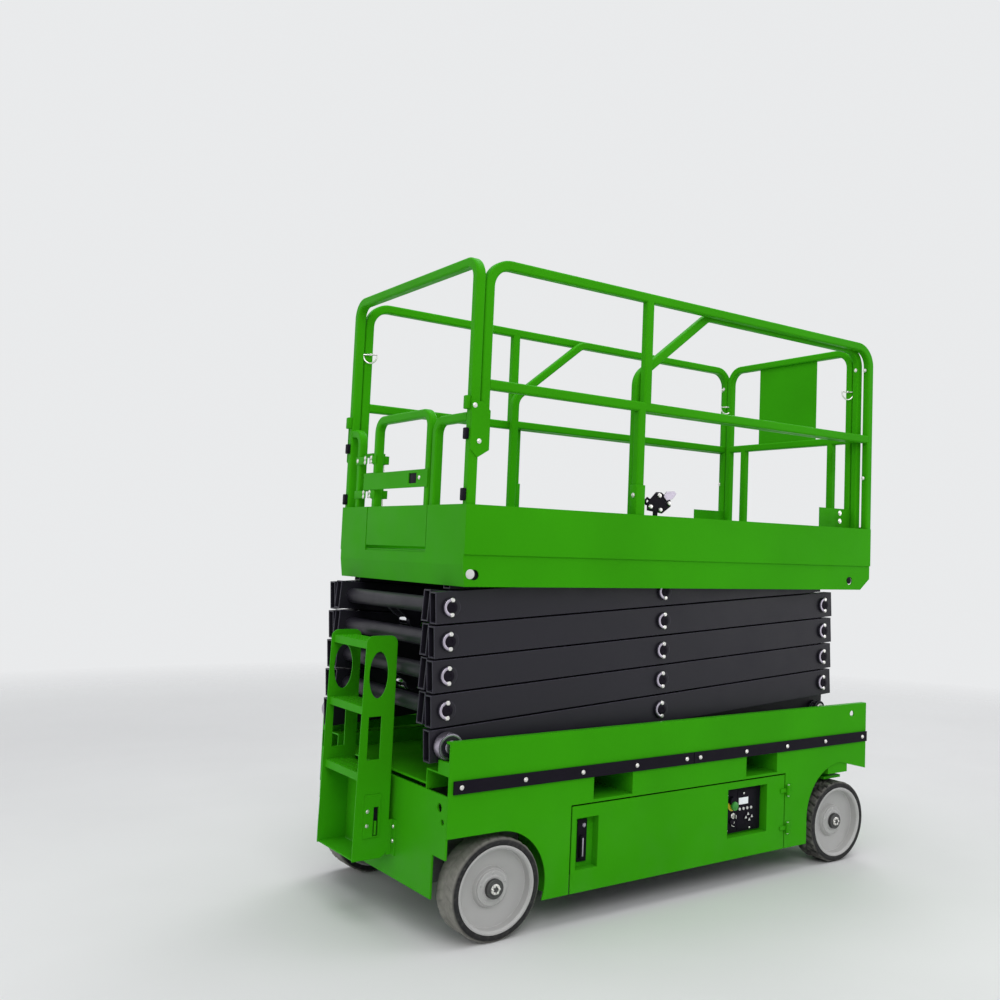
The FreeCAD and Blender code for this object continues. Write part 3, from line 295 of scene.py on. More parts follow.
def rubber(name, colour, film, amount, cover_low, centre):
    """Tyre rubber with grey film on its tread; cover_low is the film's share where it is thin."""
    wall_end = 0.181
    tread_start = 0.189
    make = Nodes(name)
    shifted = make.add("ShaderNodeVectorMath", operation="SUBTRACT")
    make.link(make.place, shifted.inputs[0])
    shifted.inputs[1].default_value = centre
    flat = make.add("ShaderNodeVectorMath", operation="MULTIPLY")
    make.link(shifted.outputs["Vector"], flat.inputs[0])
    flat.inputs[1].default_value = (1.0, 0.0, 1.0)
    length = make.add("ShaderNodeVectorMath", operation="LENGTH")
    make.link(flat.outputs["Vector"], length.inputs[0])
    out = make.ramp(length.outputs["Value"], wall_end, tread_start)
    patches = make.ramp(make.noise(24.0, 6.0, roughness=0.65), 0.34, 0.6, cover_low, 1.0)
    cover = make.times(make.times(out, patches), amount)
    base = make.mix(cover, colour, film)
    scuff = make.ramp(make.noise(60.0, 5.0), 0.5, 0.75)
    base = make.mix(make.times(scuff, 0.18), base, shade(film, 0.6))
    make.link(base, make.shader.inputs["Base Color"])
    make.link(make.ramp(make.noise(14.0, 3.0), 0.3, 0.7, 0.62, 0.86), make.shader.inputs["Roughness"])
    make.set(Specular_IOR_Level=0.35)
    make.bump(make.noise(260.0, 2.0), 0.25, 0.0008)
    return make.material


def plastic(name, colour, roughness=0.5, grain=520.0, shine=0.4):
    """Moulded plastic with a fine grain and faint scuffs."""
    make = Nodes(name)
    scuff = make.ramp(make.noise(46.0, 5.0, (1.0, 1.0, 3.0)), 0.52, 0.75)
    base = make.mix(make.times(scuff, 0.25), colour, shade(colour, 2.4))
    make.link(base, make.shader.inputs["Base Color"])
    make.link(make.ramp(make.noise(20.0, 3.0), 0.3, 0.7, roughness * 0.85, roughness * 1.2),
              make.shader.inputs["Roughness"])
    make.set(Specular_IOR_Level=shine)
    make.bump(make.noise(grain, 2.0), 0.14, 0.0005, make.edges(0.0012)[1])
    return make.material


def metal(name, colour, roughness=0.3, brushed=(1.0, 1.0, 1.0), tarnish=0.3):
    """Bare or plated metal with fine marks and a little tarnish."""
    make = Nodes(name)
    marks = make.noise(180.0, 4.0, brushed)
    dull = make.ramp(make.noise(16.0, 5.0), 0.45, 0.7)
    base = make.mix(make.times(dull, tarnish), colour, shade(colour, 0.55))
    make.link(base, make.shader.inputs["Base Color"])
    make.link(make.ramp(marks, 0.3, 0.7, roughness * 0.8, roughness * 1.35),
              make.shader.inputs["Roughness"])
    make.set(Metallic=1.0)
    make.bump(marks, 0.05, 0.0004, make.edges(0.0008)[1])
    return make.material


def glow(name, colour, strength):
    """Lit face of a display or a lamp under smooth cover plastic."""
    make = Nodes(name)
    tone = make.mix(make.ramp(make.noise(30.0, 2.0), 0.3, 0.7), shade(colour, 0.9), colour)
    make.link(tone, make.shader.inputs["Base Color"])
    make.link(tone, make.shader.inputs["Emission Color"])
    make.set(Emission_Strength=strength, Roughness=0.2)
    return make.material


def finish(name):
    """The material that one of the functions above has made."""
    return bpy.data.materials[name]


# Mesh making

def on_circle(radius, angle, height=0.0):
    """The point at an angle on a level circle about the origin."""
    return Vector((radius * math.cos(angle), radius * math.sin(angle), height))


def round_places(matrix, radius, count, first=0.0, height=0.0):
    """Places at even angles, from first on, on a circle about the local Z of matrix."""
    return [matrix @ on_circle(radius, math.radians(360 / count * step + first), height)
            for step in range(count)]


def turned(mesh, profile, matrix, sides=24):
    """Turn (radius, height) points about the local Z of matrix and close the ends."""
    rings = []
    for radius, height in profile:
        if radius == 0:
            rings.append([mesh.verts.new(matrix @ Vector((0, 0, height)))])
            continue
        rings.append([mesh.verts.new(matrix @ on_circle(radius, 2 * math.pi * step / sides, height))
                      for step in range(sides)])
    for low, high in zip(rings, rings[1:]):
        for step in range(sides):
            after = (step + 1) % sides
            around = [low[step % len(low)], low[after % len(low)],
                      high[after % len(high)], high[step % len(high)]]
            unique = [vert for n, vert in enumerate(around) if vert not in around[:n]]
            if len(unique) > 2:
                mesh.faces.new(unique)
    if len(rings[0]) > 2:
        mesh.faces.new(list(reversed(rings[0])))
    if len(rings[-1]) > 2:
        mesh.faces.new(rings[-1])


def ring_section(mesh, section, matrix, sides=48, start=0.0, sweep=360.0):
    """Sweep a closed (radius, height) section about the local Z of matrix."""
    whole = sweep == 360.0
    rings = []
    for step in range(sides if whole else sides + 1):
        angle = math.radians(start + sweep * step / sides)
        rings.append([mesh.verts.new(matrix @ on_circle(radius, angle, height))
                      for radius, height in section])
    pairs = list(zip(rings, rings[1:]))
    if whole:
        pairs.append((rings[-1], rings[0]))
    for low, high in pairs:
        for step in range(len(section)):
            after = (step + 1) % len(section)
            mesh.faces.new((low[step], high[step], high[after], low[after]))
    if not whole:
        mesh.faces.new(rings[0])
        mesh.faces.new(list(reversed(rings[-1])))


def plate(mesh, outline, thickness, matrix, bevel=0.0008):
    """A flat plate with the outline in local XY, rising along local Z."""
    count = len(outline)
    centre = Vector((sum(p[0] for p in outline) / count, sum(p[1] for p in outline) / count))
    layers = []
    for height, inset in ((0.0, 0.0), (thickness - bevel, 0.0), (thickness, bevel)):
        ring = []
        for x, y in outline:
            offset = centre - Vector((x, y))
            shift = offset.normalized() * inset if offset.length > 0 else Vector((0, 0))
            ring.append(mesh.verts.new(matrix @ Vector((x + shift.x, y + shift.y, height))))
        layers.append(ring)
    for low, high in zip(layers, layers[1:]):
        for step in range(count):
            after = (step + 1) % count
            mesh.faces.new((low[step], low[after], high[after], high[step]))
    mesh.faces.new(list(reversed(layers[0])))
    mesh.faces.new(layers[-1])


def bar(mesh, low, high, bevel=0.001):
    """A box between two corners with bevelled edges."""
    low, high = Vector(low), Vector(high)
    size = high - low
    verts = bmesh.ops.create_cube(mesh, size=1.0)["verts"]
    for vert in verts:
        vert.co = low + Vector([(vert.co[n] + 0.5) * size[n] for n in range(3)])
    edges = list({edge for vert in verts for edge in vert.link_edges})
    bmesh.ops.bevel(mesh, geom=edges, offset=min(bevel, min(size) * 0.3), segments=2,
                    affect="EDGES", profile=0.5, clamp_overlap=True)


def outward_bar(mesh, sign, x_range, depths, z_range, bevel):
    """A bar whose depths count outward from the middle of the lift, on the side of sign."""
    y_range = sorted(sign * depth for depth in depths)
    bar(mesh, (x_range[0], y_range[0], z_range[0]), (x_range[1], y_range[1], z_range[1]), bevel)


def wire(mesh, points, radius, sides=10, closed=False):
    """A round wire through points."""
    points = [Vector(point) for point in points]
    count = len(points)
    rings = []
    side = None
    for step, point in enumerate(points):
        before = points[step - 1] if step or closed else points[0]
        after = points[(step + 1) % count] if step < count - 1 or closed else points[-1]
        along = (after - before).normalized()
        if side is None:
            side = along.orthogonal().normalized()
        side = (side - along * side.dot(along)).normalized()
        other = along.cross(side)
        rings.append([mesh.verts.new(
            point + (side * math.cos(a) + other * math.sin(a)) * radius)
            for a in (2 * math.pi * k / sides for k in range(sides))])
    pairs = list(zip(rings, rings[1:]))
    if closed:
        pairs.append((rings[-1], rings[0]))
    for low, high in pairs:
        shift = 0
        if closed and low is rings[-1]:
            shift = min(range(sides), key=lambda k: (high[k].co - low[0].co).length)
        for step in range(sides):
            after = (step + 1) % sides
            mesh.faces.new((low[step], low[after], high[(after + shift) % sides],
                            high[(step + shift) % sides]))
    if not closed:
        mesh.faces.new(list(reversed(rings[0])))
        mesh.faces.new(rings[-1])


def facing(place, direction):
    """A matrix at place whose local Z points along direction."""
    turn = Vector(direction).normalized().to_track_quat("Z", "Y").to_matrix().to_4x4()
    return Matrix.Translation(Vector(place)) @ turn


def facing_side(y):
    """A matrix whose local XY is the upright plane at y, seen from the near side."""
    return Matrix(((1, 0, 0, 0), (0, 0, -1, y), (0, 1, 0, 0), (0, 0, 0, 1)))


def bolt(mesh, place, direction, radius, height=None, washer=1.45):
    """A hexagon bolt head on its washer, with a rounded crown."""
    matrix = facing(place, direction)
    height = height or radius * 0.75
    base = min(radius * 0.22, height * 0.35)
    turned(mesh, [(radius * washer, 0), (radius * washer, base * 0.7),
                  (radius * washer * 0.94, base)], matrix, 20)
    crown = height - base
    turned(mesh, [(radius * 1.08, base * 0.6), (radius * 1.08, base + crown * 0.72),
                  (radius * 0.9, base + crown * 0.96), (radius * 0.5, base + crown),
                  (0, base + crown)], matrix, 6)


def round_head(mesh, matrix, radius, shoulder, crown, top, sunk=0.0, sides=16):
    """A round head, straight up to its shoulder and chamfered to a flat crown."""
    turned(mesh, [(radius, -sunk), (radius, shoulder), (crown, top), (0, top)], matrix, sides)


def lock_pin(mesh, place, out):
    """A straight pin with a D-shaped wire ring hanging from its head."""
    place, out = Vector(place), Vector(out)
    round_head(mesh, facing(place, out), 0.006, 0.016, 0.0045, 0.018, sunk=0.004, sides=14)
    across = Vector((0.84, -0.54, 0.0))
    half_width = 0.032
    drop = 0.040
    off_rail = 0.013
    steps = 12
    points = []
    for step in range(steps + 1):
        angle = math.pi * step / steps
        points.append(place + out * off_rail + across * half_width * math.cos(angle)
                      - Vector((0, 0, drop * math.sin(angle))))
    wire(mesh, points, 0.0038, 10, closed=True)


def make_piece(name, mesh, material, body, smooth=35.0):
    """Turn a built mesh into an object that rides on a body."""
    bmesh.ops.recalc_face_normals(mesh, faces=mesh.faces)
    data = bpy.data.meshes.new(name)
    mesh.to_mesh(data)
    mesh.free()
    data.materials.append(finish(material))
    data.polygons.foreach_set("use_smooth", [True] * len(data.polygons))
    data.set_sharp_from_angle(angle=math.radians(smooth))
    piece = bpy.data.objects.new(name, data)
    bpy.context.scene.collection.objects.link(piece)
    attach(piece, body)
    return piece


def corners(node):
    """Lowest and highest corner of a node."""
    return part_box(node)


# Operators

class LIFT_OT_finishes(bpy.types.Operator):
    """Make the materials and give one to every modelled part"""
    bl_idname = "lift.finishes"
    bl_label = "Finishes"

    def execute(self, context):
        look = context.scene.lift_finish
        edge = context.scene.lift_detail.edge
        paint("lift_green", look.green, look.green_roughness, edge, dust=0.04, shine=0.06,
              tint=GREEN_TINT)
        # Painted highlight: the arms' edges go nine times lighter, a grey line standing in for light caught on
        # their corners
        paint("arm_paint", look.black, look.black_roughness, edge * 2, scuff_and_highlight_amount=0.7, bright=9.0)
        # Painted highlight: the rims' lips go lighter, a pale ring standing in for light caught on them; the dust
        # on the rims is real
        paint("rim_paint", look.rim, 0.40, edge * 2, dust=0.15, scuff_and_highlight_amount=0.7, bright=1.9, shine=0.5)
        deck_paint("deck_paint", look.green, edge)
        plastic("moulded_black", look.plastic, shine=0.08)
        plastic("battery_plastic", (0.012, 0.012, 0.014), 0.55, shine=0.15)
        plastic("green_plastic", (0.035, 0.30, 0.035), 0.3)
        plastic("yellow_plastic", (0.72, 0.62, 0.02), 0.35)
        plastic("white_plastic", (0.75, 0.75, 0.73), 0.4)
        metal("zinc", look.zinc, 0.32)
        metal("hard_chrome", (0.8, 0.81, 0.83), 0.08, (1.0, 30.0, 1.0), 0.05)
        metal("cast_metal", (0.3, 0.3, 0.31), 0.55)
        metal("bare_steel", (0.46, 0.42, 0.50), 0.34)
        metal("dark_steel", (0.10, 0.10, 0.10), 0.5)
        glow("display", (0.75, 0.78, 0.8), 0.35)
        for entry in frame["record"]["subparts"]:
            self.cover(entry["node"], entry["material_slot"])
        return {"FINISHED"}

    def cover(self, name, slot):
        """Give a modelled part the finish of its slot."""
        finishes = {
            "green_paint": "lift_green", "black_paint": "arm_paint", "grey_rim": "rim_paint",
            "tyre_rubber": "moulded_black", "black_plastic": "moulded_black",
            "cast_hub": "cast_metal", "battery_case": "battery_plastic",
            "tank_steel": "arm_paint", "rod_chrome": "hard_chrome",
        }
        trodden = name in ("platform_deck", "extension_deck")
        data = frame["nodes"][name].data
        data.materials.clear()
        data.materials.append(finish("deck_paint" if trodden else finishes[slot]))
        data.polygons.foreach_set("material_index", [0] * len(data.polygons))


class LIFT_OT_tyres(bpy.types.Operator):
    """Replace the plain tyre bands with grooved tyres"""
    bl_idname = "lift.tyres"
    bl_label = "Tyres"

    def execute(self, context):
        look = context.scene.lift_finish
        detail = context.scene.lift_detail
        for end in ("rear", "front"):
            for side, _ in SIDES:
                self.tyre(look, detail, end, side)
        return {"FINISHED"}

    def tyre(self, look, detail, end, side):
        """A solid tyre, with deep grooves on the driven front wheels and shallow, rubbed-down ones behind."""
        node = "tyre_" + end + "_" + side
        low, high = corners(node)
        centre = (low + high) / 2
        radius = (high.z - low.z) / 2
        half = (high.y - low.y) / 2
        driven = end == "front"
        left_of_groove = 1.0 if driven else 0.35
        depth = detail.groove_depth * left_of_groove
        film, cover_low = (0.55, 0.0) if driven else (0.80, 0.70)
        rubber(node + "_rubber", look.rubber, look.film, film, cover_low, centre)
        steps = 240
        rows = 22
        edge = half - 0.010
        across = [-edge + 2 * edge * row / (rows - 1) for row in range(rows)]
        wall = self.wall(radius, half)
        far_wall = [(r, -y) for r, y in reversed(wall)]
        mesh = bmesh.new()
        rings = []
        for step in range(steps):
            angle = 2 * math.pi * step / steps
            tread = [(radius - depth * self.groove(angle, y / half, detail.groove_pitch), y)
                     for y in across]
            rings.append([mesh.verts.new(Vector((
                centre.x + r * math.sin(angle), centre.y + y, centre.z + r * math.cos(angle))))
                for r, y in wall + tread + far_wall])
        count = len(rings[0])
        for step in range(steps):
            here, after = rings[step], rings[(step + 1) % steps]
            for k in range(count):
                mesh.faces.new((here[k], after[k], after[(k + 1) % count], here[(k + 1) % count]))
        piece = make_piece("grooved_" + node, mesh, node + "_rubber", "wheel_" + end + "_" + side,
                           50.0)
        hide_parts(node)

    def wall(self, radius, half):
        """Outline of one side of the tyre, from the rim to the tread's shoulder."""
        inner = radius - 0.028
        return [(inner, -half + 0.002), (inner + 0.004, -half), (inner + 0.012, -half),
                (inner + 0.0135, -half), (radius - 0.009, -half + 0.0005),
                (radius - 0.003, -half + 0.004)]

    def groove(self, angle, across, pitch):
        """1 in a groove and 0 on a block, for slanted blocks in two staggered rows."""
        slant = 0.55
        stagger = 0.5
        cross_width = 0.16
        middle_width = 0.09
        sway = 0.08
        deep_from = 0.3
        shallow = 0.35
        steepness = 1.5
        turn = angle * pitch / (2 * math.pi)
        phase = (turn + slant * abs(across) + (stagger if across > 0 else 0.0)) % 1.0
        cross = max(0.0, 1.0 - abs(phase - 0.5) / cross_width)
        middle = max(0.0, 1.0 - abs(across - sway * math.sin(angle * pitch)) / middle_width)
        deepening = shallow + (1.0 - shallow) * min(1.0, abs(across) / deep_from)
        return min(1.0, max(cross * deepening, middle) * steepness)


class LIFT_OT_hubs(bpy.types.Operator):
    """Add the hub discs, castle nuts and spindle ends of the wheels"""
    bl_idname = "lift.hubs"
    bl_label = "Hubs"

    def execute(self, context):
        disc_depth = 0.038
        nut_depth = 0.0115
        for end in ("rear", "front"):
            for side, sign in SIDES:
                low, high = corners("rim_" + end + "_" + side)
                middle = (low + high) / 2
                face = high.y if sign > 0 else low.y
                out = (0, sign, 0)
                wheel = end + "_" + side
                carrier = "chassis" if end == "rear" else "knuckle_" + side
                self.disc(wheel, (middle.x, face - sign * disc_depth, middle.z), out)
                self.spindle(wheel, carrier, (middle.x, face - sign * nut_depth, middle.z), out)
        return {"FINISHED"}

    def disc(self, wheel, place, out):
        """The pale disc deep in the rim, with its five screws."""
        seat = facing(place, out)
        mesh = bmesh.new()
        ring_section(mesh, [(0.0275, 0.0), (0.066, 0.0), (0.066, 0.004), (0.063, 0.0065),
                            (0.048, 0.0065), (0.045, 0.010), (0.030, 0.010), (0.0275, 0.008)],
                     seat, 56)
        for spot in round_places(seat, radius=0.0555, count=5, first=18, height=0.0055):
            round_head(mesh, facing(spot, out), 0.0045, 0.0022, 0.003, 0.003, sides=12)
        make_piece("hub_disc_" + wheel, mesh, "rim_paint", "wheel_" + wheel)

    def spindle(self, wheel, carrier, place, out):
        """The collar round the spindle, the castle nut and the spindle's end inside it."""
        nut = facing(place, out)
        mesh = bmesh.new()
        ring_section(mesh, [(0.0342, -0.0162), (0.0364, -0.0162), (0.0364, -0.0014),
                            (0.0350, 0.0002), (0.0262, 0.0002), (0.0250, 0.0018),
                            (0.0205, 0.0018), (0.0205, 0.0001), (0.0252, 0.0001),
                            (0.0342, -0.0022)], nut, 48)
        make_piece("spindle_collar_" + wheel, mesh, "dark_steel", carrier)
        mesh = bmesh.new()
        turned(mesh, [(0.0200, 0.0), (0.0200, 0.0018), (0.0185, 0.0026), (0.012, 0.0026)], nut, 28)
        for spot in round_places(nut, radius=0.0145, count=6, height=0.001):
            round_head(mesh, facing(spot, out), 0.0052, 0.006, 0.0042, 0.0072, sides=10)
        make_piece("castle_nut_" + wheel, mesh, "zinc", carrier)
        mesh = bmesh.new()
        turned(mesh, [(0.0098, -0.001), (0.0098, 0.0060), (0.0085, 0.0078), (0.003, 0.0078),
                      (0, 0.0055)], nut, 24)
        make_piece("spindle_end_" + wheel, mesh, "dark_steel", carrier)


class LIFT_OT_arm_pins(bpy.types.Operator):
    """Add the retainers and bolts on the scissor pins"""
    bl_idname = "lift.arm_pins"
    bl_label = "Arm pins"

    def execute(self, context):
        radius = context.scene.lift_detail.pin_bolt
        top = sum(name.startswith("arm_inner_") for name in frame["nodes"])
        for level in range(1, top + 1):
            places = [JOINTS["cross_" + str(level)]["pos_m"]]
            if level > 1:
                places.append(JOINTS["fold_" + str(level - 1)]["pos_m"])
            if level < top:
                centre = Vector(places[0])
                front = Vector(JOINTS["fold_" + str(level)]["pos_m"])
                places.append((2 * centre.x - front.x, 0.0, front.z))
            self.caps(str(level), places, radius)
        return {"FINISHED"}

    def caps(self, level, places, radius):
        """Caps, open rings and pairs of bolts on both ends of a level's pins."""
        caps = bmesh.new()
        rings = bmesh.new()
        bolts = bmesh.new()
        collar = 0.5035
        seat = collar - 0.0002
        bolt_shift = 0.0275
        for x, _, z in places:
            for _, sign in SIDES:
                out = facing((x, sign * collar, z), (0, sign, 0))
                ring_section(rings, [(0.0235, -0.001), (0.0335, -0.001), (0.0335, 0.0026),
                                     (0.032, 0.0036), (0.025, 0.0036), (0.0235, 0.0026)],
                             out, 30, start=100.0, sweep=160.0)
                turned(caps, [(0.0215, -0.001), (0.0215, 0.0032), (0.020, 0.0042), (0.009, 0.0042),
                              (0.0075, 0.0024), (0, 0.0024)], out, 28)
                for rise in (-bolt_shift, bolt_shift):
                    bolt(bolts, (x, sign * seat, z + rise), (0, sign, 0), radius, 0.0075, 1.1)
        body = "inner_" + level
        make_piece("pin_caps_" + level, caps, "moulded_black", body)
        make_piece("pin_rings_" + level, rings, "bare_steel", body)
        make_piece("pin_bolts_" + level, bolts, "zinc", body)


class LIFT_OT_chassis_fasteners(bpy.types.Operator):
    """Add the rub strip bolts, the ladder's fittings, the pivot bolts and the rollers"""
    bl_idname = "lift.chassis_fasteners"
    bl_label = "Chassis fasteners"

    def execute(self, context):
        self.strip_bolts(context.scene.lift_detail.strip_bolt)
        self.ladder_bolts()
        self.ladder_slot()
        self.tread_grips()
        self.pivot_bolts()
        self.roller_sleeves()
        return {"FINISHED"}

    def strip_bolts(self, radius):
        """Bolts along both rub strips, closer together at the joint of the strip."""
        low, high = corners("rub_strips")
        shares = (0.0135, 0.132, 0.248, 0.366, 0.484, 0.5175, 0.638, 0.7525, 0.867, 0.985)
        mesh = bmesh.new()
        for share in shares:
            for face, sign in ((low.y, -1), (high.y, 1)):
                bolt(mesh, (low.x + (high.x - low.x) * share, face, (low.z + high.z) / 2),
                     (0, sign, 0), radius, 0.0055, 1.3)
        make_piece("strip_bolts", mesh, "zinc", "chassis")

    def ladder_lines(self):
        """Where the ladder's side plates start, and the middles of the near and far plate."""
        low, high = corners("ladder")
        flange = 0.018
        inset = 0.033
        return corners("rear_panel")[0].x - flange, low.y + inset, high.y - inset

    def ladder_bolts(self):
        front, near, far = self.ladder_lines()
        flange_face = corners("rear_panel")[0].x - 0.006
        mesh = bmesh.new()
        for y, outward in ((near, -1), (far, 1)):
            for height in (0.310, 0.366):
                bolt(mesh, (flange_face, y + outward * 0.018, height), (-1, 0, 0), 0.0060)
        for height in (0.377, 0.432):
            bolt(mesh, (front - 0.093, near - HALF_LADDER_PLATE - 0.004, height), (0, -1, 0), 0.0052)
        make_piece("ladder_bolts", mesh, "zinc", "chassis")

    def ladder_slot(self):
        """A black sheet behind the slot that paints the shade inside the ladder, and the lever of the slot in the
        near plate.
        """
        front, near, _ = self.ladder_lines()
        inside = near + HALF_LADDER_PLATE
        mesh = bmesh.new()
        # Painted shade: this black sheet fills the slot so that the lit inside of the ladder does not show through
        bar(mesh, (front - 0.072, inside, 0.330), (front - 0.043, inside + 0.005, 0.451))
        make_piece("slot_painted_shade", mesh, "moulded_black", "chassis")
        mesh = bmesh.new()
        bar(mesh, (front - 0.0625, near - HALF_LADDER_PLATE - 0.003, 0.338),
            (front - 0.0525, inside, 0.392), 0.002)
        make_piece("slot_lever", mesh, "lift_green", "chassis")

    def tread_grips(self):
        """Punched grip rings on the ladder's treads, which get deeper towards the ground."""
        front, near, far = self.ladder_lines()
        low, high = corners("ladder")
        treads = (1.086, 0.832, 0.578)
        rows = 4
        columns = 13
        end_gap = 0.018
        rear_gap = 0.022
        top_depth = 0.13
        deeper = 0.015
        mesh = bmesh.new()
        for height in treads:
            depth = top_depth + deeper * (high.z - height) / (high.z - low.z)
            start = front - depth + rear_gap
            for row in range(rows):
                for column in range(columns):
                    spot = (start + row * (depth - 0.06) / (rows - 1),
                            near + end_gap + column * (far - near - 2 * end_gap) / (columns - 1),
                            height)
                    turned(mesh, [(0.0055, -0.001), (0.0045, 0.0018), (0.0032, 0.0022),
                                  (0.0024, 0.0008), (0, 0.0008)], facing(spot, (0, 0, 1)), 12)
        make_piece("tread_grips", mesh, "lift_green", "chassis")

    def pivot_bolts(self):
        """The ends of the fixed pivot's pin, each between two bolts."""
        x, _, z = JOINTS["lift"]["pos_m"]
        face = 0.485
        mesh = bmesh.new()
        for _, sign in SIDES:
            out = (0, sign, 0)
            round_head(mesh, facing((x, sign * face, z), out), 0.0215, 0.003, 0.019, 0.005,
                       sunk=0.002, sides=28)
            for shift in (-0.028, 0.028):
                bolt(mesh, (x + shift, sign * face, z - 0.005), out, 0.008)
        make_piece("pivot_bolts", mesh, "zinc", "chassis")

    def roller_sleeves(self):
        """Bare steel running bands and ends of the two lowest rollers."""
        cross = Vector(JOINTS["cross_1"]["pos_m"])
        fold = Vector(JOINTS["fold_1"]["pos_m"])
        inner = 0.5020
        width = corners("arm_outer_1")[1].y - inner
        mesh = bmesh.new()
        for _, sign in SIDES:
            seat = facing((2 * cross.x - fold.x, sign * inner, 2 * cross.z - fold.z), (0, sign, 0))
            turned(mesh, [(0.020, -0.0002), (0.0475, -0.0002), (0.0502, 0.003), (0.0502, width - 0.003),
                          (0.0475, width), (0.040, width + 0.0002), (0.038, width - 0.001),
                          (0.026, width - 0.001)], seat, 48)
            turned(mesh, [(0.024, width - 0.002), (0.024, width + 0.0015), (0.021, width + 0.003),
                          (0, width + 0.003)], seat, 32)
        make_piece("roller_sleeves", mesh, "bare_steel", "outer_1")


class LIFT_OT_tray_fittings(bpy.types.Operator):
    """Add the door latches, the hinge pins and the ground control parts"""
    bl_idname = "lift.tray_fittings"
    bl_label = "Tray fittings"

    def execute(self, context):
        for side, sign in SIDES:
            self.latch(side, sign)
            self.hinge_pins(side)
        self.control_face()
        self.stop_button()
        self.display()
        self.control_marks()
        self.key_switch()
        return {"FINISHED"}

    def latch(self, side, sign):
        """The latch deep in the door's slot, with its screw and its bright key."""
        x = corners("tray_door_" + side)[0].x + 0.0815
        back = SIDE_FACE - 0.040
        mesh = bmesh.new()
        outward_bar(mesh, sign, (x - 0.028, x + 0.018), (back, back + 0.006), (0.225, 0.392), 0.002)
        outward_bar(mesh, sign, (x - 0.022, x - 0.004), (back + 0.004, back + 0.022),
                    (0.240, 0.330), 0.004)
        make_piece("door_latch_" + side, mesh, "moulded_black", "tray_" + side)
        mesh = bmesh.new()
        bolt(mesh, (x + 0.004, sign * (back + 0.005), 0.367), (0, sign, 0), 0.006)
        outward_bar(mesh, sign, (x - 0.016, x - 0.010), (back + 0.021, back + 0.025),
                    (0.250, 0.322), 0.001)
        make_piece("latch_key_" + side, mesh, "bare_steel", "tray_" + side)

    def hinge_pins(self, side):
        """The ends of the two hinge pins, above and below each knuckle."""
        x, y, _ = JOINTS["tray_swing_" + side]["pos_m"]
        half_knuckle = 0.0245
        mesh = bmesh.new()
        for height in (0.213, 0.384):
            for up in (-1, 1):
                round_head(mesh, facing((x, y, height + up * half_knuckle), (0, 0, up)),
                           0.0065, 0.002, 0.004, 0.0035, sunk=0.001)
        make_piece("hinge_pins_" + side, mesh, "zinc", "chassis")

    def spot(self, x, z, rise):
        """A place on the ground controls: x and z from their corner, rise off their face."""
        corner = corners("ground_controls_near")[0]
        door_wall = 0.005
        pan_depth = 0.045
        case_depth = 0.012
        face = -(SIDE_FACE - door_wall - pan_depth + case_depth)
        return (corner.x + x, face - rise, corner.z + z)

    def head(self, mesh, place, *sizes, sides):
        """A round head on the ground controls, which look to the near side."""
        round_head(mesh, facing(self.spot(*place), (0, -1, 0)), *sizes, sides=sides)

    def control_face(self):
        """The case, its raised half and the four direction buttons."""
        low, high = corners("ground_controls_near")
        wide = high.x - low.x
        tall = high.z - low.z
        mesh = bmesh.new()
        bar(mesh, self.spot(0.006, 0.006, 0.002), self.spot(wide - 0.006, tall - 0.006, -0.001), 0.001)
        bar(mesh, self.spot(0.085, 0.010, 0.004), self.spot(wide - 0.030, tall - 0.012, 0.001), 0.003)
        for x, z in DIRECTION_BUTTONS:
            self.head(mesh, (x, z, 0.004), 0.0105, 0.003, 0.009, 0.0045, sides=20)
        make_piece("control_face", mesh, "moulded_black", "tray_near")

    def stop_button(self):
        """The mushroom button on its yellow ring."""
        place = (0.050, 0.124, 0.002)
        mesh = bmesh.new()
        self.head(mesh, place, 0.025, 0.003, 0.023, 0.004, sides=30)
        make_piece("stop_ring", mesh, "yellow_plastic", "tray_near")
        mesh = bmesh.new()
        turned(mesh, [(0.011, 0.003), (0.011, 0.014), (0.0195, 0.016), (0.0205, 0.020),
                      (0.019, 0.026), (0.012, 0.030), (0, 0.0312)],
               facing(self.spot(*place), (0, -1, 0)), 32)
        make_piece("stop_button", mesh, "green_plastic", "tray_near")

    def display(self):
        mesh = bmesh.new()
        bar(mesh, self.spot(0.092, 0.122, 0.0075), self.spot(0.150, 0.152, 0.003), 0.002)
        make_piece("display_window", mesh, "display", "tray_near")

    def control_marks(self):
        """The row of pale buttons under the display and the marks on the direction buttons."""
        mesh = bmesh.new()
        for step in range(4):
            self.head(mesh, (0.098 + step * 0.0242, 0.102, 0.004), 0.0065, 0.003, 0.005, 0.004, sides=16)
        for x, z in DIRECTION_BUTTONS:
            plate(mesh, [(-0.0072, -0.0055), (0.0072, -0.0055), (0.0, 0.0080)], 0.001,
                  facing(self.spot(x, z, 0.0084), (0, -1, 0)), 0.0002)
        make_piece("control_marks", mesh, "white_plastic", "tray_near")

    def key_switch(self):
        """The key switch with its key and the short coil under it, and the case's screws."""
        mesh = bmesh.new()
        x, z = 0.058, 0.076
        turned(mesh, [(0.0135, 0), (0.0135, 0.004), (0.011, 0.006), (0.007, 0.006), (0.006, 0.004),
                      (0, 0.004)], facing(self.spot(x, z, 0.002), (0, -1, 0)), 24)
        bar(mesh, self.spot(x - 0.002, z - 0.008, 0.026), self.spot(x + 0.002, z + 0.008, 0.006), 0.0008)
        for screw in ((0.124, 0.170), (0.163, 0.012), (0.020, 0.014), (0.020, 0.170)):
            self.head(mesh, (*screw, 0.0035), 0.005, 0.002, 0.0035, 0.003, sides=14)
        coil = [self.spot(x + 0.010 * math.sin(step * 0.9), 0.052 - 0.003 * step, 0.006)
                for step in range(9)]
        wire(mesh, coil, 0.0016, 8)
        make_piece("key_switch", mesh, "zinc", "tray_near")


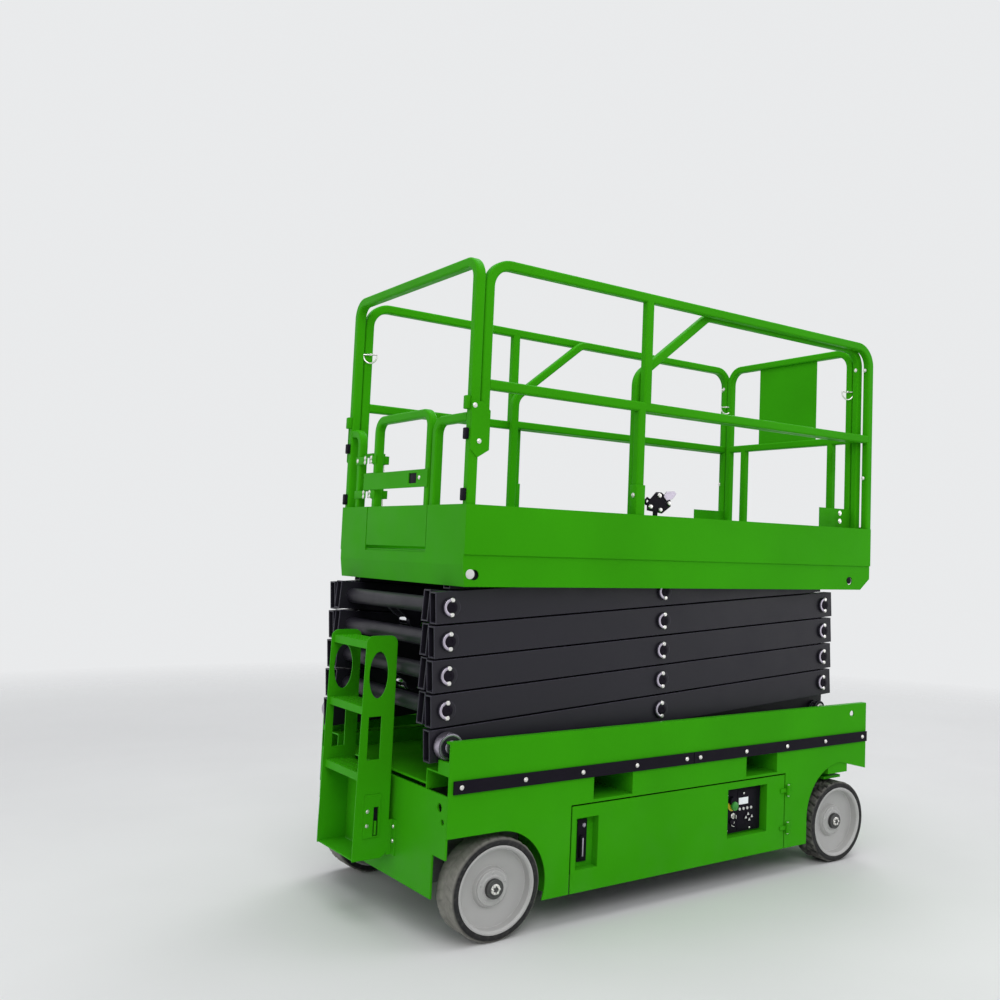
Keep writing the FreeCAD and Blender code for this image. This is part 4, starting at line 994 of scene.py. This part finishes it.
class LIFT_OT_rail_fittings(bpy.types.Operator):
    """Add the post sleeves, lock pins, brackets and bolts of the guard rails"""
    bl_idname = "lift.rail_fittings"
    bl_label = "Rail fittings"

    def execute(self, context):
        self.post_sleeves()
        self.rail_bolts()
        self.rail_pins()
        self.hooks_and_catches()
        self.plugs()
        return {"FINISHED"}

    def rear_post(self):
        """The x of the middle of the rear posts."""
        return corners("rail_rear")[0].x + HALF_RAIL_TUBE

    def post_sleeves(self):
        """The sockets of the lower posts in the middle of each side."""
        half = 0.0235
        foot = 1.620
        mesh = bmesh.new()
        for side, sign in SIDES:
            centre = sign * (RAIL_INNER + HALF_RAIL_TUBE)
            x, top, _ = LOWER_POSTS[side]
            bar(mesh, (x - half, centre - half, foot), (x + half, centre + half, top), 0.002)
        make_piece("post_sleeves", mesh, "lift_green", "platform")

    def rail_bolts(self):
        """Bolts through the rear posts, the sleeves, the front posts and the far top rail."""
        rear = self.rear_post()
        front_face = corners("rail_side_near")[1].x - HALF_RAIL_TUBE - 0.0095 - HALF_RAIL_TUBE
        sleeve_half = 0.0235
        mesh = bmesh.new()
        for side, sign in SIDES:
            centre = sign * (RAIL_INNER + HALF_RAIL_TUBE)
            outer = sign * (RAIL_INNER + 2 * HALF_RAIL_TUBE)
            for x, z in ((rear - 0.007, 2.005), (rear + 0.017, 1.870)):
                bolt(mesh, (x, outer + sign * 0.004, z), (0, sign, 0), 0.0068)
            x, _, z = LOWER_POSTS[side]
            bolt(mesh, (x - sleeve_half, centre, z), (-1, 0, 0), 0.0075)
            for z in (1.892, 2.455):
                bolt(mesh, (front_face, centre, z), (-1, 0, 0), 0.007)
        bolt(mesh, (-0.219, RAIL_INNER + 0.010, 2.230), (-1, 0, 0), 0.007)
        make_piece("rail_bolts", mesh, "zinc", "platform")

    def rail_pins(self):
        mesh = bmesh.new()
        for _, sign in SIDES:
            lock_pin(mesh, (-1.024, sign * RAIL_INNER, 2.340), (0, -sign, 0))
        make_piece("lock_pins", mesh, "zinc", "platform")

    def hooks_and_catches(self):
        """Black hooks low on the rear posts, and the green catches above them."""
        face = self.rear_post() - HALF_RAIL_TUBE
        hooks = bmesh.new()
        catches = bmesh.new()
        for _, sign in SIDES:
            centre = sign * (RAIL_INNER + HALF_RAIL_TUBE)
            for z, half_height in ((1.897, 0.022), (1.666, 0.024)):
                bar(hooks, (face - 0.016, centre - 0.012, z - half_height),
                    (face, centre + 0.012, z + half_height), 0.004)
            bar(catches, (face - 0.018, centre - 0.014, 1.990), (face, centre + 0.014, 2.042), 0.004)
        make_piece("rail_hooks", hooks, "moulded_black", "platform")
        make_piece("rail_catches", catches, "lift_green", "platform")

    def plugs(self):
        """Pale plugs in the skirt's rear holes and dark ones in its front holes."""
        face = corners("platform_skirt")[1].y - 0.004
        pale = bmesh.new()
        dark = bmesh.new()
        for _, sign in SIDES:
            out = (0, sign, 0)
            turned(pale, [(0.0185, -0.004), (0.0185, 0.0), (0.016, 0.0015), (0, 0.002)],
                   facing((-1.060, sign * face, 1.3666), out), 28)
            round_head(dark, facing((1.112, sign * face, 1.3655), out), 0.0165, 0.0, 0.014, 0.001,
                       sunk=0.003, sides=28)
        make_piece("skirt_plugs", pale, "white_plastic", "platform")
        make_piece("front_plugs", dark, "moulded_black", "platform")


class LIFT_OT_gate_fittings(bpy.types.Operator):
    """Add the gate's latch, hinge leaves, springs and bolts"""
    bl_idname = "lift.gate_fittings"
    bl_label = "Gate fittings"

    def execute(self, context):
        hinge = Vector(JOINTS["gate_swing"]["pos_m"])
        tube_ahead = 0.045
        half_tube = 0.018
        face = hinge.x - tube_ahead - half_tube
        heights = (1.685, 1.837)
        self.springs(hinge, heights)
        self.leaves(face, heights)
        self.leaf_bolts(face, heights)
        self.latch(face)
        return {"FINISHED"}

    def springs(self, hinge, heights):
        """The coil springs round the hinge pins, which close the gate."""
        turns = 8
        points_a_turn = 12
        coil = 0.0115
        length = 0.033
        below = 0.0530
        steps = turns * points_a_turn
        mesh = bmesh.new()
        for height in heights:
            points = []
            for step in range(steps + 1):
                angle = 2 * math.pi * step / points_a_turn
                points.append((hinge.x + coil * math.cos(angle), hinge.y + coil * math.sin(angle),
                               height - below + length * step / steps))
            wire(mesh, points, 0.0018, 6)
        make_piece("gate_springs", mesh, "zinc", "platform")

    def leaves(self, face, heights):
        """The hinge leaves on the gate and on the fixed frame beside it."""
        thick = 0.003
        half_height = 0.017
        for name, body, start, end in (("gate_leaves", "gate", 0.250, 0.318),
                                       ("post_leaves", "platform", 0.343, 0.458)):
            mesh = bmesh.new()
            for height in heights:
                bar(mesh, (face - thick, start, height - half_height),
                    (face, end, height + half_height))
            make_piece(name, mesh, "lift_green", body)

    def leaf_bolts(self, face, heights):
        """Two bolts a leaf, and one more at the outer end of the upper post leaf."""
        seat = face - 0.003
        shift = 0.0165 * 0.55
        rows = (("gate_bolts", "gate", [(0.300, height + up * shift) for height in heights
                                        for up in (-1, 1)]),
                ("post_bolts", "platform", [(0.362, height + up * shift) for height in heights
                                            for up in (-1, 1)] + [(0.440, heights[1])]))
        for name, body, places in rows:
            mesh = bmesh.new()
            for y, z in places:
                bolt(mesh, (seat, y, z), (-1, 0, 0), 0.0065, 0.0035)
            make_piece(name, mesh, "zinc", body)

    def latch(self, face):
        mesh = bmesh.new()
        bar(mesh, (face, -0.150, 1.714), (face + 0.020, -0.062, 1.770), 0.003)
        make_piece("latch_case", mesh, "moulded_black", "gate")
        mesh = bmesh.new()
        bolt(mesh, (face - 0.004, -0.166, 1.743), (-1, 0, 0), 0.006, 0.0035)
        make_piece("gate_latch", mesh, "zinc", "gate")


class LIFT_OT_extension_fittings(bpy.types.Operator):
    """Add the foot lock's pedal and the bolts and lock pins of the sliding deck"""
    bl_idname = "lift.extension_fittings"
    bl_label = "Extension fittings"

    def execute(self, context):
        self.pedal()
        self.deck_bolts()
        self.deck_pins()
        return {"FINISHED"}

    def pedal(self):
        """The bare pedal plate with its studs, on a black bracket and grip."""
        low, high = corners("lock_lever")
        y = (low.y + high.y) / 2
        mesh = bmesh.new()
        outline = [(-0.042, 1.7216), (-0.026, 1.7047), (0.010, 1.713), (0.033, 1.738),
                   (0.020, 1.7495), (-0.024, 1.7452)]
        plate(mesh, outline, 0.007, facing_side(y - 0.0035), 0.001)
        make_piece("lock_pedal", mesh, "bare_steel", "extension")
        mesh = bmesh.new()
        for x, z in ((-0.115, 1.673), (-0.066, 1.7247), (-0.059, 1.6613), (-0.010, 1.6937)):
            turned(mesh, [(0.0110, -0.003), (0.0110, 0.004), (0.0085, 0.009), (0, 0.011)],
                   facing((x, y - 0.005, z), (0, -1, 0)), 18)
        make_piece("pedal_studs", mesh, "zinc", "extension")
        mesh = bmesh.new()
        stem = low.x + 0.060
        bar(mesh, (stem - 0.011, y - 0.005, high.z - 0.02), (stem + 0.011, y + 0.005, 1.725), 0.002)
        bracket = [(-0.130, 1.656), (-0.045, 1.646), (0.004, 1.680), (0.004, 1.706), (-0.052, 1.740),
                   (-0.080, 1.740), (-0.130, 1.690)]
        plate(mesh, bracket, 0.006, facing_side(y), 0.001)
        loop = ((0.030, 1.700), (0.012, 1.710), (0.0, 1.698), (0.006, 1.684), (0.028, 1.682))
        wire(mesh, [(low.x + x, y, z) for x, z in loop], 0.006, 12)
        make_piece("pedal_grip", mesh, "moulded_black", "extension")

    def deck_bolts(self):
        """Bolts of the toe boards, and one high on each front post."""
        toe_face = corners("extension_deck")[1].y
        post = corners("extension_rail_near")[1].x - HALF_SLIDING_TUBE
        mesh = bmesh.new()
        for _, sign in SIDES:
            for height in (1.664, 1.7045):
                bolt(mesh, (1.088, sign * toe_face, height), (0, sign, 0), 0.0085)
            bolt(mesh, (post - HALF_SLIDING_TUBE, sign * 0.500, 2.457), (-1, 0, 0), 0.007)
        make_piece("extension_bolts", mesh, "zinc", "extension")

    def deck_pins(self):
        rear_face = corners("extension_front_rail")[0].x
        mesh = bmesh.new()
        for _, sign in SIDES:
            lock_pin(mesh, (rear_face, sign * 0.461, 2.345), (-1, 0, 0))
        make_piece("extension_pins", mesh, "zinc", "extension")


class LIFT_OT_stage(bpy.types.Operator):
    """Make the floor, the soft lamps, the world and the camera"""
    bl_idname = "lift.stage"
    bl_label = "Stage"

    def execute(self, context):
        scene = context.scene
        scene.view_settings.view_transform = "Standard"
        self.floor(scene)
        self.world(scene)
        self.lamps(scene)
        self.camera(scene)
        return {"FINISHED"}

    def floor(self, scene):
        mesh = bmesh.new()
        bmesh.ops.create_grid(mesh, x_segments=2, y_segments=2, size=40.0)
        data = bpy.data.meshes.new("floor")
        mesh.to_mesh(data)
        mesh.free()
        data.materials.append(self.floor_finish())
        floor = bpy.data.objects.new("floor", data)
        scene.collection.objects.link(floor)

    def floor_finish(self):
        """Pale matt floor that fades out into the backdrop."""
        make = Nodes("studio_floor")
        tone = make.mix(make.ramp(make.noise(0.7, 4.0), 0.3, 0.7), (0.80, 0.80, 0.80), (0.84, 0.84, 0.84))
        make.link(tone, make.shader.inputs["Base Color"])
        make.set(Roughness=0.8, Specular_IOR_Level=0.2)
        fade_from = 3.8
        gone_by = 9.0
        distance = make.add("ShaderNodeVectorMath", operation="LENGTH")
        make.link(make.place, distance.inputs[0])
        clear = make.add("ShaderNodeBsdfTransparent")
        blend = make.add("ShaderNodeMixShader")
        make.link(make.ramp(distance.outputs["Value"], fade_from, gone_by), blend.inputs["Fac"])
        make.link(make.shader.outputs["BSDF"], blend.inputs[1])
        make.link(clear.outputs["BSDF"], blend.inputs[2])
        make.link(blend.outputs["Shader"], make.output.inputs["Surface"])
        return make.material

    def world(self, scene):
        """Soft bluish light, behind a brighter plain backdrop that is seen and mirrored."""
        world = bpy.data.worlds.new("studio")
        world.use_nodes = True
        scene.world = world
        tree = world.node_tree
        tree.nodes.clear()
        output = tree.nodes.new("ShaderNodeOutputWorld")
        mix = tree.nodes.new("ShaderNodeMixShader")
        soft = (0.92, 0.95, 1.0, 1.0)
        backdrop = (0.86, 0.87, 0.88, 1.0)
        for place, colour, strength in ((1, soft, 0.30), (2, backdrop, 0.95)):
            light = tree.nodes.new("ShaderNodeBackground")
            light.inputs["Color"].default_value = colour
            light.inputs["Strength"].default_value = strength
            tree.links.new(light.outputs["Background"], mix.inputs[place])
        path = tree.nodes.new("ShaderNodeLightPath")
        seen = path.outputs["Is Camera Ray"]
        for ray in ("Is Glossy Ray", "Is Transmission Ray"):
            either = tree.nodes.new("ShaderNodeMath")
            either.operation = "MAXIMUM"
            tree.links.new(seen, either.inputs[0])
            tree.links.new(path.outputs[ray], either.inputs[1])
            seen = either.outputs["Value"]
        tree.links.new(seen, mix.inputs["Fac"])
        tree.links.new(mix.outputs["Shader"], output.inputs["Surface"])

    def lamps(self, scene):
        """Square lamps, each with its name, place, power and width, all aimed at the lift."""
        target = Vector((0.0, 0.0, 1.2))
        lamps = (
            ("key_lamp", (-3.5, -6.5, 6.0), 215.0, 4.5),
            ("fill_lamp", (-7.5, 1.5, 3.5), 85.0, 4.0),
            ("rim_lamp", (5.5, 4.5, 6.0), 130.0, 4.0),
            ("front_lamp", (6.0, -5.0, 3.0), 75.0, 4.0),
            ("top_lamp", (0.0, 0.0, 8.0), 330.0, 8.0),
        )
        for name, place, power, width in lamps:
            data = bpy.data.lights.new(name, "AREA")
            data.energy = power
            data.size = width
            lamp = bpy.data.objects.new(name, data)
            lamp.location = place
            lamp.rotation_euler = (target - Vector(place)).to_track_quat("-Z", "Y").to_euler()
            scene.collection.objects.link(lamp)

    def camera(self, scene):
        """The photograph's camera, fitted to the lift."""
        place = Vector((-3.0612, -4.0543, 1.4656))
        yaw, pitch, roll = (math.radians(angle) for angle in (39.014, 4.366, 1.944))
        focal_pixels = 1054.64
        centre_x, centre_y = 645.19, 473.15
        picture = 1000
        sensor = 36.0
        forward = Vector((math.sin(yaw) * math.cos(pitch), math.cos(yaw) * math.cos(pitch),
                          math.sin(pitch)))
        level = Vector((math.cos(yaw), -math.sin(yaw), 0.0))
        above = level.cross(forward)
        right = level * math.cos(roll) + above * math.sin(roll)
        up = above * math.cos(roll) - level * math.sin(roll)
        data = bpy.data.cameras.new("camera")
        data.sensor_width = sensor
        data.lens = focal_pixels / picture * sensor
        data.shift_x = -(centre_x - picture / 2) / picture
        data.shift_y = (centre_y - picture / 2) / picture
        data.dof.use_dof = False
        camera = bpy.data.objects.new("camera", data)
        matrix = Matrix((right, up, -forward)).transposed().to_4x4()
        matrix.translation = place
        camera.matrix_world = matrix
        scene.collection.objects.link(camera)
        scene.camera = camera


OPERATORS = (
    LIFT_OT_finishes, LIFT_OT_tyres, LIFT_OT_hubs, LIFT_OT_arm_pins, LIFT_OT_chassis_fasteners,
    LIFT_OT_tray_fittings, LIFT_OT_rail_fittings, LIFT_OT_gate_fittings,
    LIFT_OT_extension_fittings, LIFT_OT_stage,
)


class LIFT_PT_dressing(bpy.types.Panel):
    """Lists the settings and the operators in the order they run"""
    bl_idname = "LIFT_PT_dressing"
    bl_label = "Scissor lift"
    bl_space_type = "VIEW_3D"
    bl_region_type = "UI"
    bl_category = "Lift"

    def draw(self, context):
        layout = self.layout
        for group in (context.scene.lift_finish, context.scene.lift_detail):
            box = layout.box()
            for name in group.bl_rna.properties.keys():
                if name not in ("rna_type", "name"):
                    box.prop(group, name)
        for operator in OPERATORS:
            layout.operator(operator.bl_idname)


CLASSES = (LiftFinish, LiftDetail, *OPERATORS, LIFT_PT_dressing)


def register():
    for item in CLASSES:
        bpy.utils.register_class(item)
    bpy.types.Scene.lift_finish = PointerProperty(type=LiftFinish)
    bpy.types.Scene.lift_detail = PointerProperty(type=LiftDetail)


def unregister():
    del bpy.types.Scene.lift_detail
    del bpy.types.Scene.lift_finish
    for item in reversed(CLASSES):
        bpy.utils.unregister_class(item)


def main():
    register()
    for operator in OPERATORS:
        group, name = operator.bl_idname.split(".")
        getattr(getattr(bpy.ops, group), name)()


if __name__ == "__main__":
    main()
